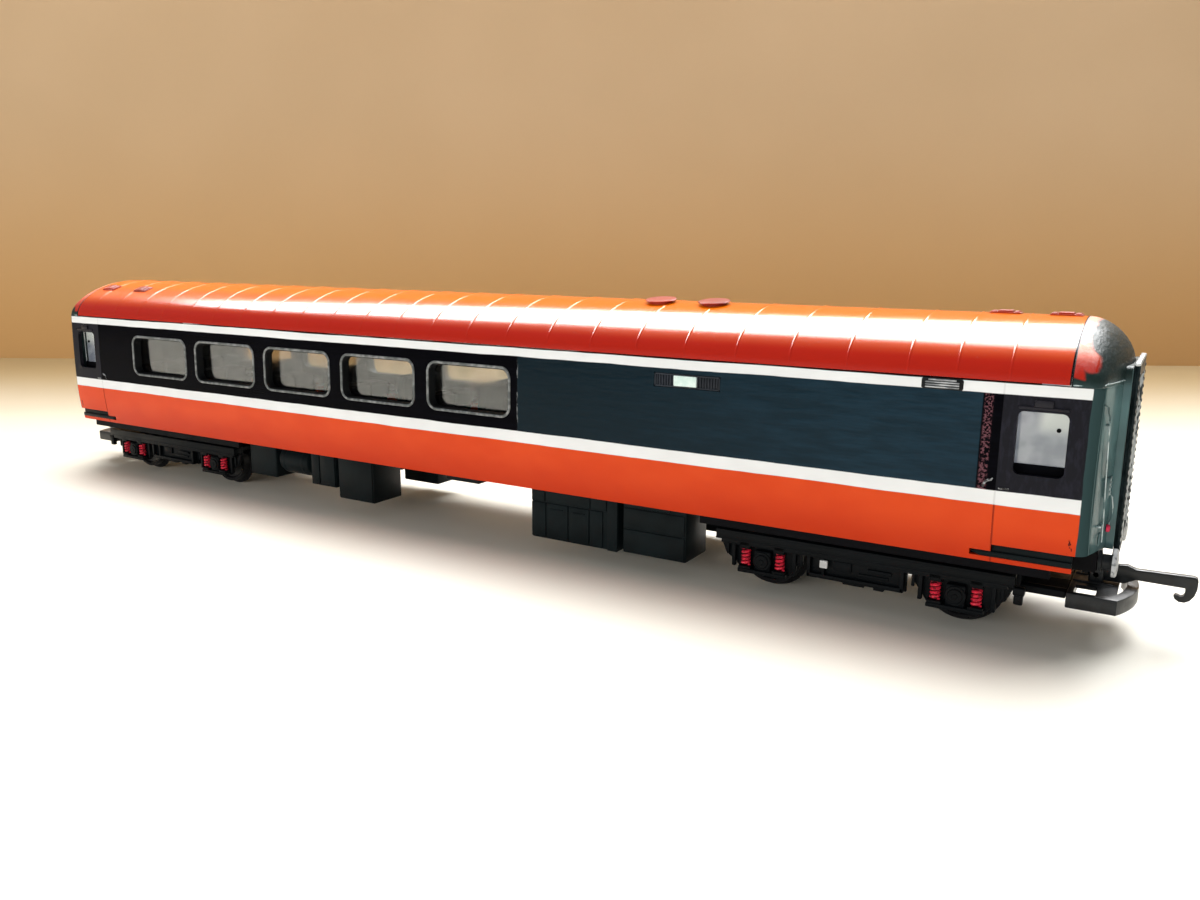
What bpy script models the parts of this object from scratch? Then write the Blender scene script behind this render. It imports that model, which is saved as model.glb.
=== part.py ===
"""Model passenger coach, 4 mm to the foot, as an assembly of its separate pieces.

Frame: +X along the coach, +Z up, origin on the table below the middle of the coach.
The front end is the +X end, and the right side is the -Y side.
"""

import math

import bmesh
import bpy
from mathutils import Matrix, Vector

MM = 0.001

# Driving dimensions, all in metres
WHEEL_RADIUS = 6.0 * MM
FLANGE_RADIUS = 6.9 * MM
BACK_TO_BACK = 14.5 * MM
AXLE_RADIUS = 0.95 * MM
AXLE_HEIGHT = FLANGE_RADIUS
WHEELBASE = 34.0 * MM
BOGIE_CENTRES = 186.0 * MM

BODY_END = 131.7 * MM
END_BOW = 10.65
CORNER_START, CORNER_WIDTH = 127.0 * MM, 1.85 * MM
DOME_START, DOME_EDGE_RISE = 124.5 * MM, 1.7 * MM
BODY_BOTTOM = 14.0 * MM
DOOR_BOTTOM = 16.95 * MM
WAIST = 28.0 * MM
WAIST_HALF_WIDTH = 18.5 * MM
GUTTER = 42.9 * MM
GUTTER_HALF_WIDTH = 18.15 * MM
ROOF_RISE = 9.2 * MM
ROOF_POWER = 1.85
ROOF_HALF_LENGTH = 124.4 * MM
WALL = 1.0 * MM
FIT = 0.1 * MM

WINDOW_PITCH = 25.3 * MM
FIRST_WINDOW = -89.7 * MM
WINDOWS = 5
WINDOW_SIZE = (21.2 * MM, 9.8 * MM)
WINDOW_MIDDLE = 33.5 * MM
WINDOW_CORNER = 2.0 * MM
WINDOW_RIM, RIM_BACK, RIM_FACE = 0.5 * MM, 17.9 * MM, 18.7 * MM
DOOR_WINDOW_X, DOOR_WINDOW_MIDDLE = 121.1 * MM, 33.7 * MM
DOOR_WINDOW_SIZE = (7.2 * MM, 9.8 * MM)

STEP_FROM, KICK_FROM, STEP_TO = 112.2 * MM, 115.4 * MM, 127.0 * MM
STEP_LOW, STEP_TOP, KICK_TOP = 14.85 * MM, 15.75 * MM, 16.9 * MM
STEP_IN, KICK_OUT, STEP_OUT = 16.75 * MM, 17.2 * MM, 17.6 * MM

GLAZING_END, GLAZING_IN, GLAZING_OUT = 125.4 * MM, 15.9 * MM, 16.3 * MM
GLAZING_LOW, GLAZING_HIGH = 26.5 * MM, 40.5 * MM
LEDGE, LEDGE_OUT = 0.6 * MM, 17.2 * MM

GRILLE_FROM, GRILLE_TO = 55.1 * MM, 68.2 * MM
GRILLE_LOW, GRILLE_HIGH = 37.55 * MM, 40.0 * MM
GRILLE_IN, GRILLE_OUT = -17.3 * MM, -18.3 * MM
GRILLE_SLATS = 11
INDICATOR_FROM, INDICATOR_TO = 59.0 * MM, 63.6 * MM

SEAT_IN, SEAT_OUT = 3.2 * MM, 15.6 * MM
SEAT_LOW, CUSHION_TOP, TABLE_TOP, SEAT_TOP = 17.2 * MM, 22.5 * MM, 26.2 * MM, 31.0 * MM
CUSHION_FROM, SEAT_BACK_FROM, SEAT_BACK_TO = 5.2 * MM, 10.6 * MM, 12.3 * MM
TABLE_HALF_LENGTH = 2.6 * MM
PARTITIONS, PARTITION_TOP = (-104.0 * MM, 27.0 * MM), 40.0 * MM

ROUND_VENT_RADIUS = 3.1 * MM
ROUND_VENTS = {
    "round_vent_inner": (48.6 * MM, -3.5 * MM),
    "round_vent_outer": (60.0 * MM, -3.5 * MM),
}
SHELL_VENTS = {
    "shell_vent_front_inner": (111.8 * MM, 0.0),
    "shell_vent_front_outer": (121.1 * MM, 0.0),
    "shell_vent_rear_inner": (-105.8 * MM, -10.2 * MM),
    "shell_vent_rear_outer": (-119.6 * MM, -10.2 * MM),
}

# Boxes below the floor: from, to, and the height of the underside
BOX_IN, BOX_OUT = 6.6 * MM, 16.1 * MM
BOXES = {
    "battery_box": (25.7 * MM, 46.4 * MM, 3.4 * MM),
    "cooler_box": (47.4 * MM, 61.2 * MM, 3.6 * MM),
    "converter_box": (-29.6 * MM, -18.5 * MM, 3.9 * MM),
    "relay_box": (-38.5 * MM, -30.5 * MM, 6.1 * MM),
}

FLOOR_LOW, FLOOR_HIGH = 14.65 * MM, 15.65 * MM
SOLEBAR_FROM, SOLEBAR_TO, SOLEBAR_LOW = 64.0 * MM, 124.0 * MM, 12.2 * MM
SOLEBAR_IN, SOLEBAR_OUT = 15.0 * MM, 16.05 * MM
BOGIE_TOP = 11.5 * MM
BOGIE_PLATE = 1.1 * MM
BOGIE_HALF_LENGTH = 26.0 * MM
SIDE_BAR_OUT = 15.3 * MM
SIDE_PLATE_IN, SIDE_PLATE_OUT = 12.3 * MM, 13.2 * MM
PIN_RADIUS = 1.9 * MM

BUFFER_SPACING = 22.8 * MM
BUFFER_HEIGHT = 15.1 * MM
SHANK_RADIUS, HEAD_RADIUS, CROWN_RADIUS = 1.2 * MM, 2.25 * MM, 2.0 * MM

PLINTH_BACK, PLINTH_FRONT = 130.35 * MM, 131.85 * MM
PLINTH_LOW, PLINTH_HIGH = 16.3 * MM, 45.3 * MM
GANGWAY_HALF_WIDTH, BELLOWS_HALF_WIDTH = 9.0 * MM, 8.6 * MM
GANGWAY_BACK, GANGWAY_PLATE, GANGWAY_FRONT = 131.95 * MM, 132.4 * MM, 132.9 * MM
GANGWAY_LOW, GANGWAY_HIGH = 15.45 * MM, 45.9 * MM
BELLOWS_LOW, BELLOWS_HIGH = 16.4 * MM, 45.4 * MM
DOORWAY_HALF_WIDTH = 5.2 * MM
DOORWAY_LOW, DOORWAY_HIGH = 17.6 * MM, 43.4 * MM
CORRIDOR_DOOR_FACE = 132.2 * MM

COUPLER_LOW, COUPLER_HIGH = 5.9 * MM, 8.5 * MM
COUPLER_HALF_WIDTH = 9.6 * MM
COUPLER_FROM, COUPLER_SHOULDER, COUPLER_APEX = 126.05 * MM, 133.4 * MM, 136.0 * MM
COUPLER_SKIN, COUPLER_WALL = 0.6 * MM, 0.8 * MM
CRESCENT_FROM, CRESCENT_DEPTH, CRESCENT_HALF_WIDTH = 133.1 * MM, 1.2 * MM, 6.4 * MM
SLOT_FROM, SLOT_TO = 127.0 * MM, 130.2 * MM
SLOTS = ((-8.6 * MM, -4.4 * MM), (2.5 * MM, 6.7 * MM))
HOOK_PIVOT = (129.6 * MM, 9.9 * MM)

ENDS = {"front": 1, "rear": -1}
SIDES = {"left": 1, "right": -1}


def clear_scene():
    for obj in list(bpy.data.objects):
        bpy.data.objects.remove(obj, do_unlink=True)


def new_collection(name):
    collection = bpy.data.collections.new(name)
    bpy.context.scene.collection.children.link(collection)
    return collection


def new_material(name, colour, roughness, metallic=0.0, alpha=1.0):
    material = bpy.data.materials.new(name)
    material.use_nodes = True
    shader = material.node_tree.nodes["Principled BSDF"]
    shader.inputs["Base Color"].default_value = (*colour, 1.0)
    shader.inputs["Roughness"].default_value = roughness
    shader.inputs["Metallic"].default_value = metallic
    shader.inputs["Alpha"].default_value = alpha
    material.diffuse_color = (*colour, alpha)
    return material


def link(name, mesh, collection, material=None):
    obj = bpy.data.objects.new(name, mesh)
    collection.objects.link(obj)
    if material:
        mesh.materials.clear()
        mesh.materials.append(material)
    return obj


def mesh_from(shape, name):
    """Turns a bmesh into a mesh with outward faces, and frees it."""
    bmesh.ops.recalc_face_normals(shape, faces=shape.faces)
    mesh = bpy.data.meshes.new(name)
    shape.to_mesh(mesh)
    shape.free()
    return mesh


def block(low, high, round_axis=None, radius=0.0, segments=4):
    """A box between two corners. The four edges along round_axis can be rounded."""
    shape = bmesh.new()
    bmesh.ops.create_cube(shape, size=1.0)
    low, high = Vector(low), Vector(high)
    bmesh.ops.scale(shape, vec=high - low, verts=shape.verts)
    bmesh.ops.translate(shape, vec=(low + high) / 2, verts=shape.verts)
    if round_axis is not None:
        axis = Vector([float(i == "XYZ".index(round_axis)) for i in range(3)])
        edges = [
            edge
            for edge in shape.edges
            if abs((edge.verts[0].co - edge.verts[1].co).normalized().dot(axis)) > 0.9
        ]
        bmesh.ops.bevel(
            shape, geom=edges, offset=radius, segments=segments, profile=0.5, affect="EDGES"
        )
    return shape


def rod(axis, centre, radius, low, high, segments=16, end_radius=None):
    """A cylinder or cone along X, Y or Z. centre is its place on the other two axes."""
    shape = bmesh.new()
    bmesh.ops.create_cone(
        shape,
        cap_ends=True,
        segments=segments,
        radius1=radius,
        radius2=radius if end_radius is None else end_radius,
        depth=high - low,
    )
    turns = {
        "X": Matrix.Rotation(math.pi / 2, 4, "Y"),
        "Y": Matrix.Rotation(-math.pi / 2, 4, "X"),
        "Z": Matrix.Identity(4),
    }
    bmesh.ops.transform(shape, matrix=turns[axis], verts=shape.verts)
    place = list(centre)
    place.insert("XYZ".index(axis), (low + high) / 2)
    bmesh.ops.translate(shape, vec=place, verts=shape.verts)
    return shape


def outline_plate(outlines, normal, low, high):
    """A flat outline, with holes where it has more loops, as a 2D curve with an extrude."""
    curve = bpy.data.curves.new("outline", "CURVE")
    curve.dimensions = "2D"
    curve.fill_mode = "BOTH"
    curve.extrude = (high - low) / 2
    for points in outlines:
        spline = curve.splines.new("POLY")
        spline.points.add(len(points) - 1)
        for point, (u, v) in zip(spline.points, points):
            point.co = (u, v, 0, 1)
        spline.use_cyclic_u = True
    guide = bpy.data.objects.new("outline", curve)
    bpy.context.scene.collection.objects.link(guide)
    turns = {
        "X": Matrix(((0, 0, 1, 0), (1, 0, 0, 0), (0, 1, 0, 0), (0, 0, 0, 1))),
        "Y": Matrix.Rotation(math.pi / 2, 4, "X"),
        "Z": Matrix.Identity(4),
    }
    guide.matrix_world = turns[normal]
    guide.location["XYZ".index(normal)] = (low + high) / 2
    bpy.context.view_layer.update()
    graph = bpy.context.evaluated_depsgraph_get()
    flat = bpy.data.meshes.new_from_object(guide.evaluated_get(graph))
    shape = bmesh.new()
    shape.from_mesh(flat)
    bmesh.ops.transform(shape, matrix=guide.matrix_world, verts=shape.verts)
    bmesh.ops.remove_doubles(shape, verts=shape.verts, dist=0.00001)
    bpy.data.objects.remove(guide, do_unlink=True)
    bpy.data.curves.remove(curve)
    bpy.data.meshes.remove(flat)
    return shape


def joined(shapes):
    """Several bmeshes as one, each freed."""
    whole = bmesh.new()
    for shape in shapes:
        mesh = mesh_from(shape, "piece")
        whole.from_mesh(mesh)
        bpy.data.meshes.remove(mesh)
    return whole


def combine(obj, operation, shapes):
    """Cuts shapes from obj, or joins them to it, with a Boolean whose cutter stays hidden."""
    name = f"{obj.name}_{operation.lower()}_{len(obj.modifiers)}"
    cutter = link(name, mesh_from(joined(shapes), name), CUTTERS)
    cutter.hide_render = True
    cutter.display_type = "WIRE"
    if obj.parent:
        cutter.parent = obj.parent
        cutter.matrix_parent_inverse = obj.parent.matrix_world.inverted()
    modifier = obj.modifiers.new(operation.title(), "BOOLEAN")
    modifier.operation = operation
    modifier.object = cutter
    modifier.solver = "EXACT"
    modifier.use_self = operation == "UNION" and len(shapes) > 1
    return obj


def make(name, material, shape, add=(), cut=(), place=(0, 0, 0), parent=None):
    """One sub-part, whose shape is given about its own origin, which is at place."""
    mesh = mesh_from(shape, name)
    mesh.transform(Matrix.Translation(-Vector(place)))
    obj = link(name, mesh, PARTS, material)
    obj.location = place
    if parent:
        obj.parent = parent
        obj.matrix_parent_inverse = parent.matrix_world.inverted()
    for shapes, operation in ((add, "UNION"), (cut, "DIFFERENCE")):
        if shapes:
            combine(obj, operation, shapes)
    mesh.shade_smooth()
    mesh.set_sharp_from_angle(angle=math.radians(35))
    return obj


def pivot(name, place):
    """An empty on a joint's axis, which the moving pieces are parented to."""
    empty = bpy.data.objects.new(name, None)
    empty.empty_display_size = 5 * MM
    PARTS.objects.link(empty)
    empty.location = place
    bpy.context.view_layer.update()
    return empty


# The coach's cross-section and ends


def side_half_width(height):
    """Half width of the bodyside, which curves in below the waist and a little above it."""
    if height < WAIST:
        share = (WAIST - height) / (WAIST - BODY_BOTTOM)
        return WAIST_HALF_WIDTH - 1.15 * MM * share**2.2
    share = (height - WAIST) / (GUTTER - WAIST)
    return WAIST_HALF_WIDTH - (WAIST_HALF_WIDTH - GUTTER_HALF_WIDTH) * share**2


def roof_point(angle, inset=0.0):
    """(y, z) on the roof, from the gutter at 0 to the crown at a quarter turn."""
    power = 2 / ROOF_POWER
    return (
        (GUTTER_HALF_WIDTH - inset) * max(math.cos(angle), 0) ** power,
        GUTTER + (ROOF_RISE - inset) * max(math.sin(angle), 0) ** power,
    )


def mirrored(half):
    """A half section from its outer foot to the crown, and back down the other side."""
    return [(-y, z) for y, z in half] + [(y, z) for y, z in reversed(half[:-1])]


def body_section(inset, bottom):
    heights = [bottom, 17.1 * MM, 21 * MM, 25 * MM, WAIST, 32 * MM, 37 * MM]
    half = [(side_half_width(z) - inset, z) for z in heights]
    steps = 9
    half += [roof_point(math.pi / 2 * i / steps, inset) for i in range(steps)]
    return mirrored(half + [(0.0, GUTTER + ROOF_RISE - inset)])


def end_bow(y):
    """How far forward the bowed end panel stands at this y."""
    return BODY_END - END_BOW * y * y


def end_ring(section, turn, inset):
    """The section part way round the end: 0 where the straight side ends, 1 on the end panel."""
    power = 2 / 1.78
    across = math.sin(turn * math.pi / 2) ** power
    inward = 1 - max(math.cos(turn * math.pi / 2), 0) ** power
    ring = []
    for y, z in section:
        rise = max(z - GUTTER, 0) / (ROOF_RISE - inset)
        start = CORNER_START + (DOME_START - CORNER_START) * rise
        if rise > 0:
            end_y, end_z = y * 0.898, GUTTER + rise * DOME_EDGE_RISE
        else:
            end_y, end_z = y - math.copysign(CORNER_WIDTH, y), z
        ring.append(
            (
                start + (end_bow(end_y) - inset - start) * across,
                y + (end_y - y) * inward,
                z + (end_z - z) * inward,
            )
        )
    return ring


def body_solid(inset, bottom):
    """The body's outer form, or its inside at an inset: a loft from end panel to end panel."""
    shape = bmesh.new()
    section = body_section(inset, bottom)
    turns = [0, 0.25, 0.5, 0.75, 1]
    rings = [[(-x, y, z) for x, y, z in end_ring(section, t, inset)] for t in reversed(turns)]
    rings += [end_ring(section, t, inset) for t in turns]
    rows = [[shape.verts.new(point) for point in ring] for ring in rings]
    for near, far in zip(rows, rows[1:]):
        for i in range(len(near) - 1):
            shape.faces.new((near[i], near[i + 1], far[i + 1], far[i]))
    columns = 6
    for row, sign in ((rows[0], -1), (rows[-1], 1)):
        panel = []
        for left, right in zip(row[: len(row) // 2], reversed(row)):
            line = [left]
            for i in range(1, columns):
                y = left.co.y + (right.co.y - left.co.y) * i / columns
                line.append(shape.verts.new((sign * (end_bow(y) - inset), y, left.co.z)))
            panel.append(line + [right])
        for lower, upper in zip(panel, panel[1:]):
            for i in range(columns):
                shape.faces.new((lower[i], lower[i + 1], upper[i + 1], upper[i]))
        crown = row[len(row) // 2]
        for i in range(columns):
            shape.faces.new((panel[-1][i], panel[-1][i + 1], crown))
    bmesh.ops.holes_fill(shape, edges=shape.edges)
    return shape


def window_centres():
    return [FIRST_WINDOW + WINDOW_PITCH * i for i in range(WINDOWS)]


def side_opening(centre_x, middle, size, radius, sign):
    """A cutter with rounded corners through one bodyside."""
    width, height = size
    ys = sorted((sign * 14 * MM, sign * 21 * MM))
    low = (centre_x - width / 2, ys[0], middle - height / 2)
    high = (centre_x + width / 2, ys[1], middle + height / 2)
    return block(low, high, "Y", radius)


def window_rim(centre_x, sign):
    """The raised rim round a saloon window, before the window itself is cut."""
    width, height = WINDOW_SIZE
    ys = sorted((sign * RIM_BACK, sign * RIM_FACE))
    low = (centre_x - width / 2 - WINDOW_RIM, ys[0], WINDOW_MIDDLE - height / 2 - WINDOW_RIM)
    high = (centre_x + width / 2 + WINDOW_RIM, ys[1], WINDOW_MIDDLE + height / 2 + WINDOW_RIM)
    return block(low, high, "Y", WINDOW_CORNER + WINDOW_RIM)


def build_body():
    far = 140 * MM
    hollow = body_solid(WALL, BODY_BOTTOM - MM)
    roof_gap = block((-ROOF_HALF_LENGTH, -far, GUTTER - FIT / 2), (ROOF_HALF_LENGTH, far, far))
    shell = make("body_shell", MATERIALS["body"], body_solid(0, BODY_BOTTOM), cut=[hollow])
    combine(shell, "DIFFERENCE", [roof_gap])
    for sign in ENDS.values():
        xs = sorted((sign * STEP_TO, sign * far))
        end_gap = block((xs[0], -far, 10 * MM), (xs[1], far, STEP_LOW + MM))
        combine(shell, "DIFFERENCE", [end_gap])
        for start, top in ((STEP_FROM, STEP_TOP + FIT / 2), (KICK_FROM, DOOR_BOTTOM)):
            xs = sorted((sign * (start - FIT), sign * (far - MM)))
            step_gap = block((xs[0], MM - far, STEP_LOW - FIT / 2), (xs[1], far - MM, top))
            combine(shell, "DIFFERENCE", [step_gap])
        xs = sorted((sign * PLINTH_BACK, sign * PLINTH_FRONT))
        low = (xs[0], -GANGWAY_HALF_WIDTH, PLINTH_LOW)
        plinth = block(low, (xs[1], GANGWAY_HALF_WIDTH, PLINTH_HIGH), "X", MM, 3)
        combine(shell, "UNION", [plinth])
    sides = SIDES.values()
    combine(shell, "UNION", [window_rim(x, sign) for x in window_centres() for sign in sides])
    openings = []
    for sign in sides:
        for x in window_centres():
            openings.append(side_opening(x, WINDOW_MIDDLE, WINDOW_SIZE, WINDOW_CORNER, sign))
        for end in ENDS.values():
            x = end * DOOR_WINDOW_X
            openings.append(side_opening(x, DOOR_WINDOW_MIDDLE, DOOR_WINDOW_SIZE, MM, sign))
    low = (GRILLE_FROM - FIT, -21 * MM, GRILLE_LOW - FIT)
    high = (GRILLE_TO + FIT, -14 * MM, GRILLE_HIGH + FIT)
    combine(shell, "DIFFERENCE", [*openings, block(low, high)])


def build_roof():
    steps = 9
    arcs = []
    for inset in (0.0, WALL):
        half = [roof_point(math.pi / 2 * i / steps, inset) for i in range(steps)]
        arcs.append(mirrored(half + [(0.0, GUTTER + ROOF_RISE - inset)]))
    lift = FIT / 2
    section = [(y, z + lift) for y, z in arcs[0] + arcs[1][::-1]]
    end = ROOF_HALF_LENGTH - FIT / 2
    make("roof", MATERIALS["roof"], outline_plate([section], "X", -end, end))


def roof_height(y):
    share = 1 - (abs(y) / GUTTER_HALF_WIDTH) ** ROOF_POWER
    return GUTTER + ROOF_RISE * share ** (1 / ROOF_POWER)


def on_roof(shape, x, y):
    """Lays a shape made about the origin on the roof, square to the slope at (x, y)."""
    step = 0.1 * MM
    slope = (roof_height(y + step) - roof_height(y - step)) / (2 * step)
    turn = Matrix.Rotation(math.atan(slope), 4, "X")
    lift = Matrix.Translation((x, y, roof_height(y)))
    bmesh.ops.transform(shape, matrix=lift @ turn, verts=shape.verts)
    return shape


def build_roof_vents():
    """Round vents over the galley, and low shell vents over each vestibule."""
    for name, (x, y) in ROUND_VENTS.items():
        base = rod("Z", (0, 0), ROUND_VENT_RADIUS - 0.6 * MM, 0.25 * MM, 0.6 * MM, 24)
        cap = rod("Z", (0, 0), ROUND_VENT_RADIUS, 0.45 * MM, 0.85 * MM, 28)
        make(name, MATERIALS["roof"], on_roof(base, x, y), add=[on_roof(cap, x, y)])
    for name, (x, y) in SHELL_VENTS.items():
        domes = []
        for start, end, top in ((-2.3, -1.2, 0.5), (-1.25, 1.25, 0.62), (1.2, 2.3, 0.5)):
            low, high = (start * MM, -1.2 * MM, 0.25 * MM), (end * MM, 1.2 * MM, top * MM)
            domes.append(on_roof(block(low, high, "X", 0.1 * MM, 2), x, y))
        foot = block((-2.45 * MM, -1.4 * MM, 0.15 * MM), (2.45 * MM, 1.4 * MM, 0.3 * MM))
        make(name, MATERIALS["roof"], on_roof(foot, x, y), add=domes)


def build_side_fittings():
    for side, sign in SIDES.items():
        ys = sorted((sign * GLAZING_IN, sign * GLAZING_OUT))
        pane = block((-GLAZING_END, ys[0], GLAZING_LOW), (GLAZING_END, ys[1], GLAZING_HIGH))
        ys = sorted((sign * (GLAZING_OUT - FIT), sign * LEDGE_OUT))
        ledges = [
            block((-GLAZING_END, ys[0], z), (GLAZING_END, ys[1], z + LEDGE))
            for z in (GLAZING_LOW, GLAZING_HIGH - LEDGE)
        ]
        make(f"glazing_{side}", MATERIALS["glazing"], pane, add=ledges)
        for end, direction in ENDS.items():
            xs = sorted((direction * STEP_FROM, direction * STEP_TO))
            ys = sorted((sign * STEP_IN, sign * STEP_OUT))
            board = block((xs[0], ys[0], STEP_LOW), (xs[1], ys[1], STEP_TOP))
            xs = sorted((direction * KICK_FROM, direction * STEP_TO))
            ys = sorted((sign * STEP_IN, sign * KICK_OUT))
            kick = block((xs[0], ys[0], STEP_TOP - FIT), (xs[1], ys[1], KICK_TOP))
            make(f"step_board_{end}_{side}", MATERIALS["underframe"], board, add=[kick])
    pitch = (GRILLE_TO - GRILLE_FROM) / GRILLE_SLATS
    low = (GRILLE_FROM, GRILLE_OUT, GRILLE_LOW)
    high = (GRILLE_TO, GRILLE_IN, GRILLE_HIGH)
    panel = (INDICATOR_FROM, INDICATOR_TO)
    hole = block(
        (panel[0] - 0.05 * MM, -19 * MM, GRILLE_LOW + 0.2 * MM),
        (panel[1] + 0.05 * MM, -17 * MM, GRILLE_HIGH - 0.2 * MM),
    )
    grooves = []
    for i in range(GRILLE_SLATS):
        x = GRILLE_FROM + pitch * (i + 0.5)
        if panel[0] - pitch / 2 < x < panel[1] + pitch / 2:
            continue
        grooves.append(
            block(
                (x - 0.3 * MM, -19 * MM, GRILLE_LOW + 0.3 * MM),
                (x + 0.3 * MM, -17.9 * MM, GRILLE_HIGH - 0.3 * MM),
            )
        )
    make("kitchen_grille", MATERIALS["trim"], block(low, high), cut=[hole, *grooves])
    low = (panel[0], -18.35 * MM, GRILLE_LOW + 0.25 * MM)
    high = (panel[1], -17.4 * MM, GRILLE_HIGH - 0.25 * MM)
    make("indicator_panel", MATERIALS["lamp"], block(low, high))


def build_interior():
    """One seat moulding with its floor, tables and partitions, and the steel weight."""
    floor = block((-125.8 * MM, -16.2 * MM, 16.75 * MM), (125.8 * MM, 16.2 * MM, 17.5 * MM))
    additions = []
    for sign in SIDES.values():
        ys = sorted((sign * SEAT_IN, sign * SEAT_OUT))
        for x in window_centres():
            for back in (-1, 1):
                xs = sorted((x + back * SEAT_BACK_TO, x + back * SEAT_BACK_FROM))
                additions.append(block((xs[0], ys[0], SEAT_LOW), (xs[1], ys[1], SEAT_TOP)))
                xs = sorted((x + back * (SEAT_BACK_FROM + FIT), x + back * CUSHION_FROM))
                additions.append(block((xs[0], ys[0], SEAT_LOW), (xs[1], ys[1], CUSHION_TOP)))
            low = (x - TABLE_HALF_LENGTH, ys[0], SEAT_LOW)
            additions.append(block(low, (x + TABLE_HALF_LENGTH, ys[1], TABLE_TOP)))
    for x in PARTITIONS:
        low = (x - WALL / 2, -SEAT_OUT, SEAT_LOW)
        additions.append(block(low, (x + WALL / 2, SEAT_OUT, PARTITION_TOP)))
    make("seat_unit", MATERIALS["interior"], floor, add=additions)
    weight = block((-60 * MM, -13 * MM, 15.75 * MM), (60 * MM, 13 * MM, 16.65 * MM))
    make("ballast_weight", MATERIALS["steel"], weight)


def build_underframe():
    floor = block((-126.5 * MM, -16.1 * MM, FLOOR_LOW), (126.5 * MM, 16.1 * MM, FLOOR_HIGH))
    sill = block((-62 * MM, -3 * MM, 12.2 * MM), (62 * MM, 3 * MM, 15 * MM))
    additions, holes = [sill], []
    for end, sign in ENDS.items():
        x = sign * BOGIE_CENTRES / 2
        additions.append(rod("Z", (x, 0), 5 * MM, BOGIE_TOP + 0.4 * MM, 15 * MM, 24))
        holes.append(rod("Z", (x, 0), PIN_RADIUS + 0.05 * MM, 11 * MM, 17 * MM, 20))
        xs = sorted((sign * 126 * MM, sign * 130.1 * MM))
        low, high = (xs[0], -13.6 * MM, 13.7 * MM), (xs[1], 13.6 * MM, 16.95 * MM)
        additions.append(block(low, high))
        xs = sorted((sign * SOLEBAR_FROM, sign * SOLEBAR_TO))
        for across in SIDES.values():
            ys = sorted((across * SOLEBAR_IN, across * SOLEBAR_OUT))
            additions.append(block((xs[0], ys[0], SOLEBAR_LOW), (xs[1], ys[1], FLOOR_HIGH - FIT)))
        pin = rod("Z", (x, 0), PIN_RADIUS, 9.9 * MM, 15.5 * MM, 20)
        head = rod("Z", (x, 0), 3.4 * MM, 9.3 * MM, BOGIE_TOP - BOGIE_PLATE - FIT, 24)
        make(f"bogie_pin_{end}", MATERIALS["steel"], pin, add=[head])
    make("underframe", MATERIALS["underframe"], floor, add=additions, cut=holes)


def equipment_box(low, high, chamfer):
    """A box hung below the floor, with its lower edges chamfered."""
    shape = block(low, high)
    edges = [
        edge
        for edge in shape.edges
        if all(abs(v.co.z - low[2]) < 0.01 * MM for v in edge.verts)
    ]
    bmesh.ops.bevel(shape, geom=edges, offset=chamfer, segments=1, affect="EDGES")
    return shape


def build_equipment():
    top = FLOOR_LOW - FIT
    for side, sign in SIDES.items():
        ys = sorted((sign * BOX_IN, sign * BOX_OUT))
        for name, (x_from, x_to, bottom) in BOXES.items():
            low = (x_from, ys[0], bottom)
            high = (x_to, ys[1], top)
            face = sign * BOX_OUT
            cuts = battery_box_grooves(low, high, face) if name == "battery_box" else ()
            shape = equipment_box(low, high, 0.5 * MM)
            make(f"{name}_{side}", MATERIALS["underframe"], shape, cut=cuts)
    tray = block((2.9 * MM, -16 * MM, 12.6 * MM), (12.2 * MM, -11.9 * MM, top))
    make("relay_tray", MATERIALS["underframe"], tray)
    case = equipment_box((-62.5 * MM, -14 * MM, 5.4 * MM), (-53 * MM, -7 * MM, top), MM)
    make("alternator_case", MATERIALS["underframe"], case)
    tank = rod("X", (-11.2 * MM, 10.3 * MM), 3.5 * MM, -52 * MM, -41 * MM, 20)
    hangers = [
        block((x - 0.5 * MM, -12.2 * MM, 11 * MM), (x + 0.5 * MM, -10.2 * MM, top))
        for x in (-49.5 * MM, -43.5 * MM)
    ]
    make("air_reservoir", MATERIALS["underframe"], tank, add=hangers)


def battery_box_grooves(low, high, face):
    """The joints between the doors of the box, and the one above them."""
    depth, width = 0.25 * MM, 0.2 * MM
    ys = sorted((face - depth, face + depth))
    doors_top = 11.3 * MM
    start, end = low[0] + 3.1 * MM, high[0] - 2.2 * MM
    grooves = [block((start, ys[0], doors_top), (end, ys[1], doors_top + width))]
    for x in (29.6 * MM, 34.7 * MM, 39.8 * MM):
        top = doors_top - 0.2 * MM
        grooves.append(block((x, ys[0], low[2] + MM), (x + width, ys[1], top)))
    return grooves


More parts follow.
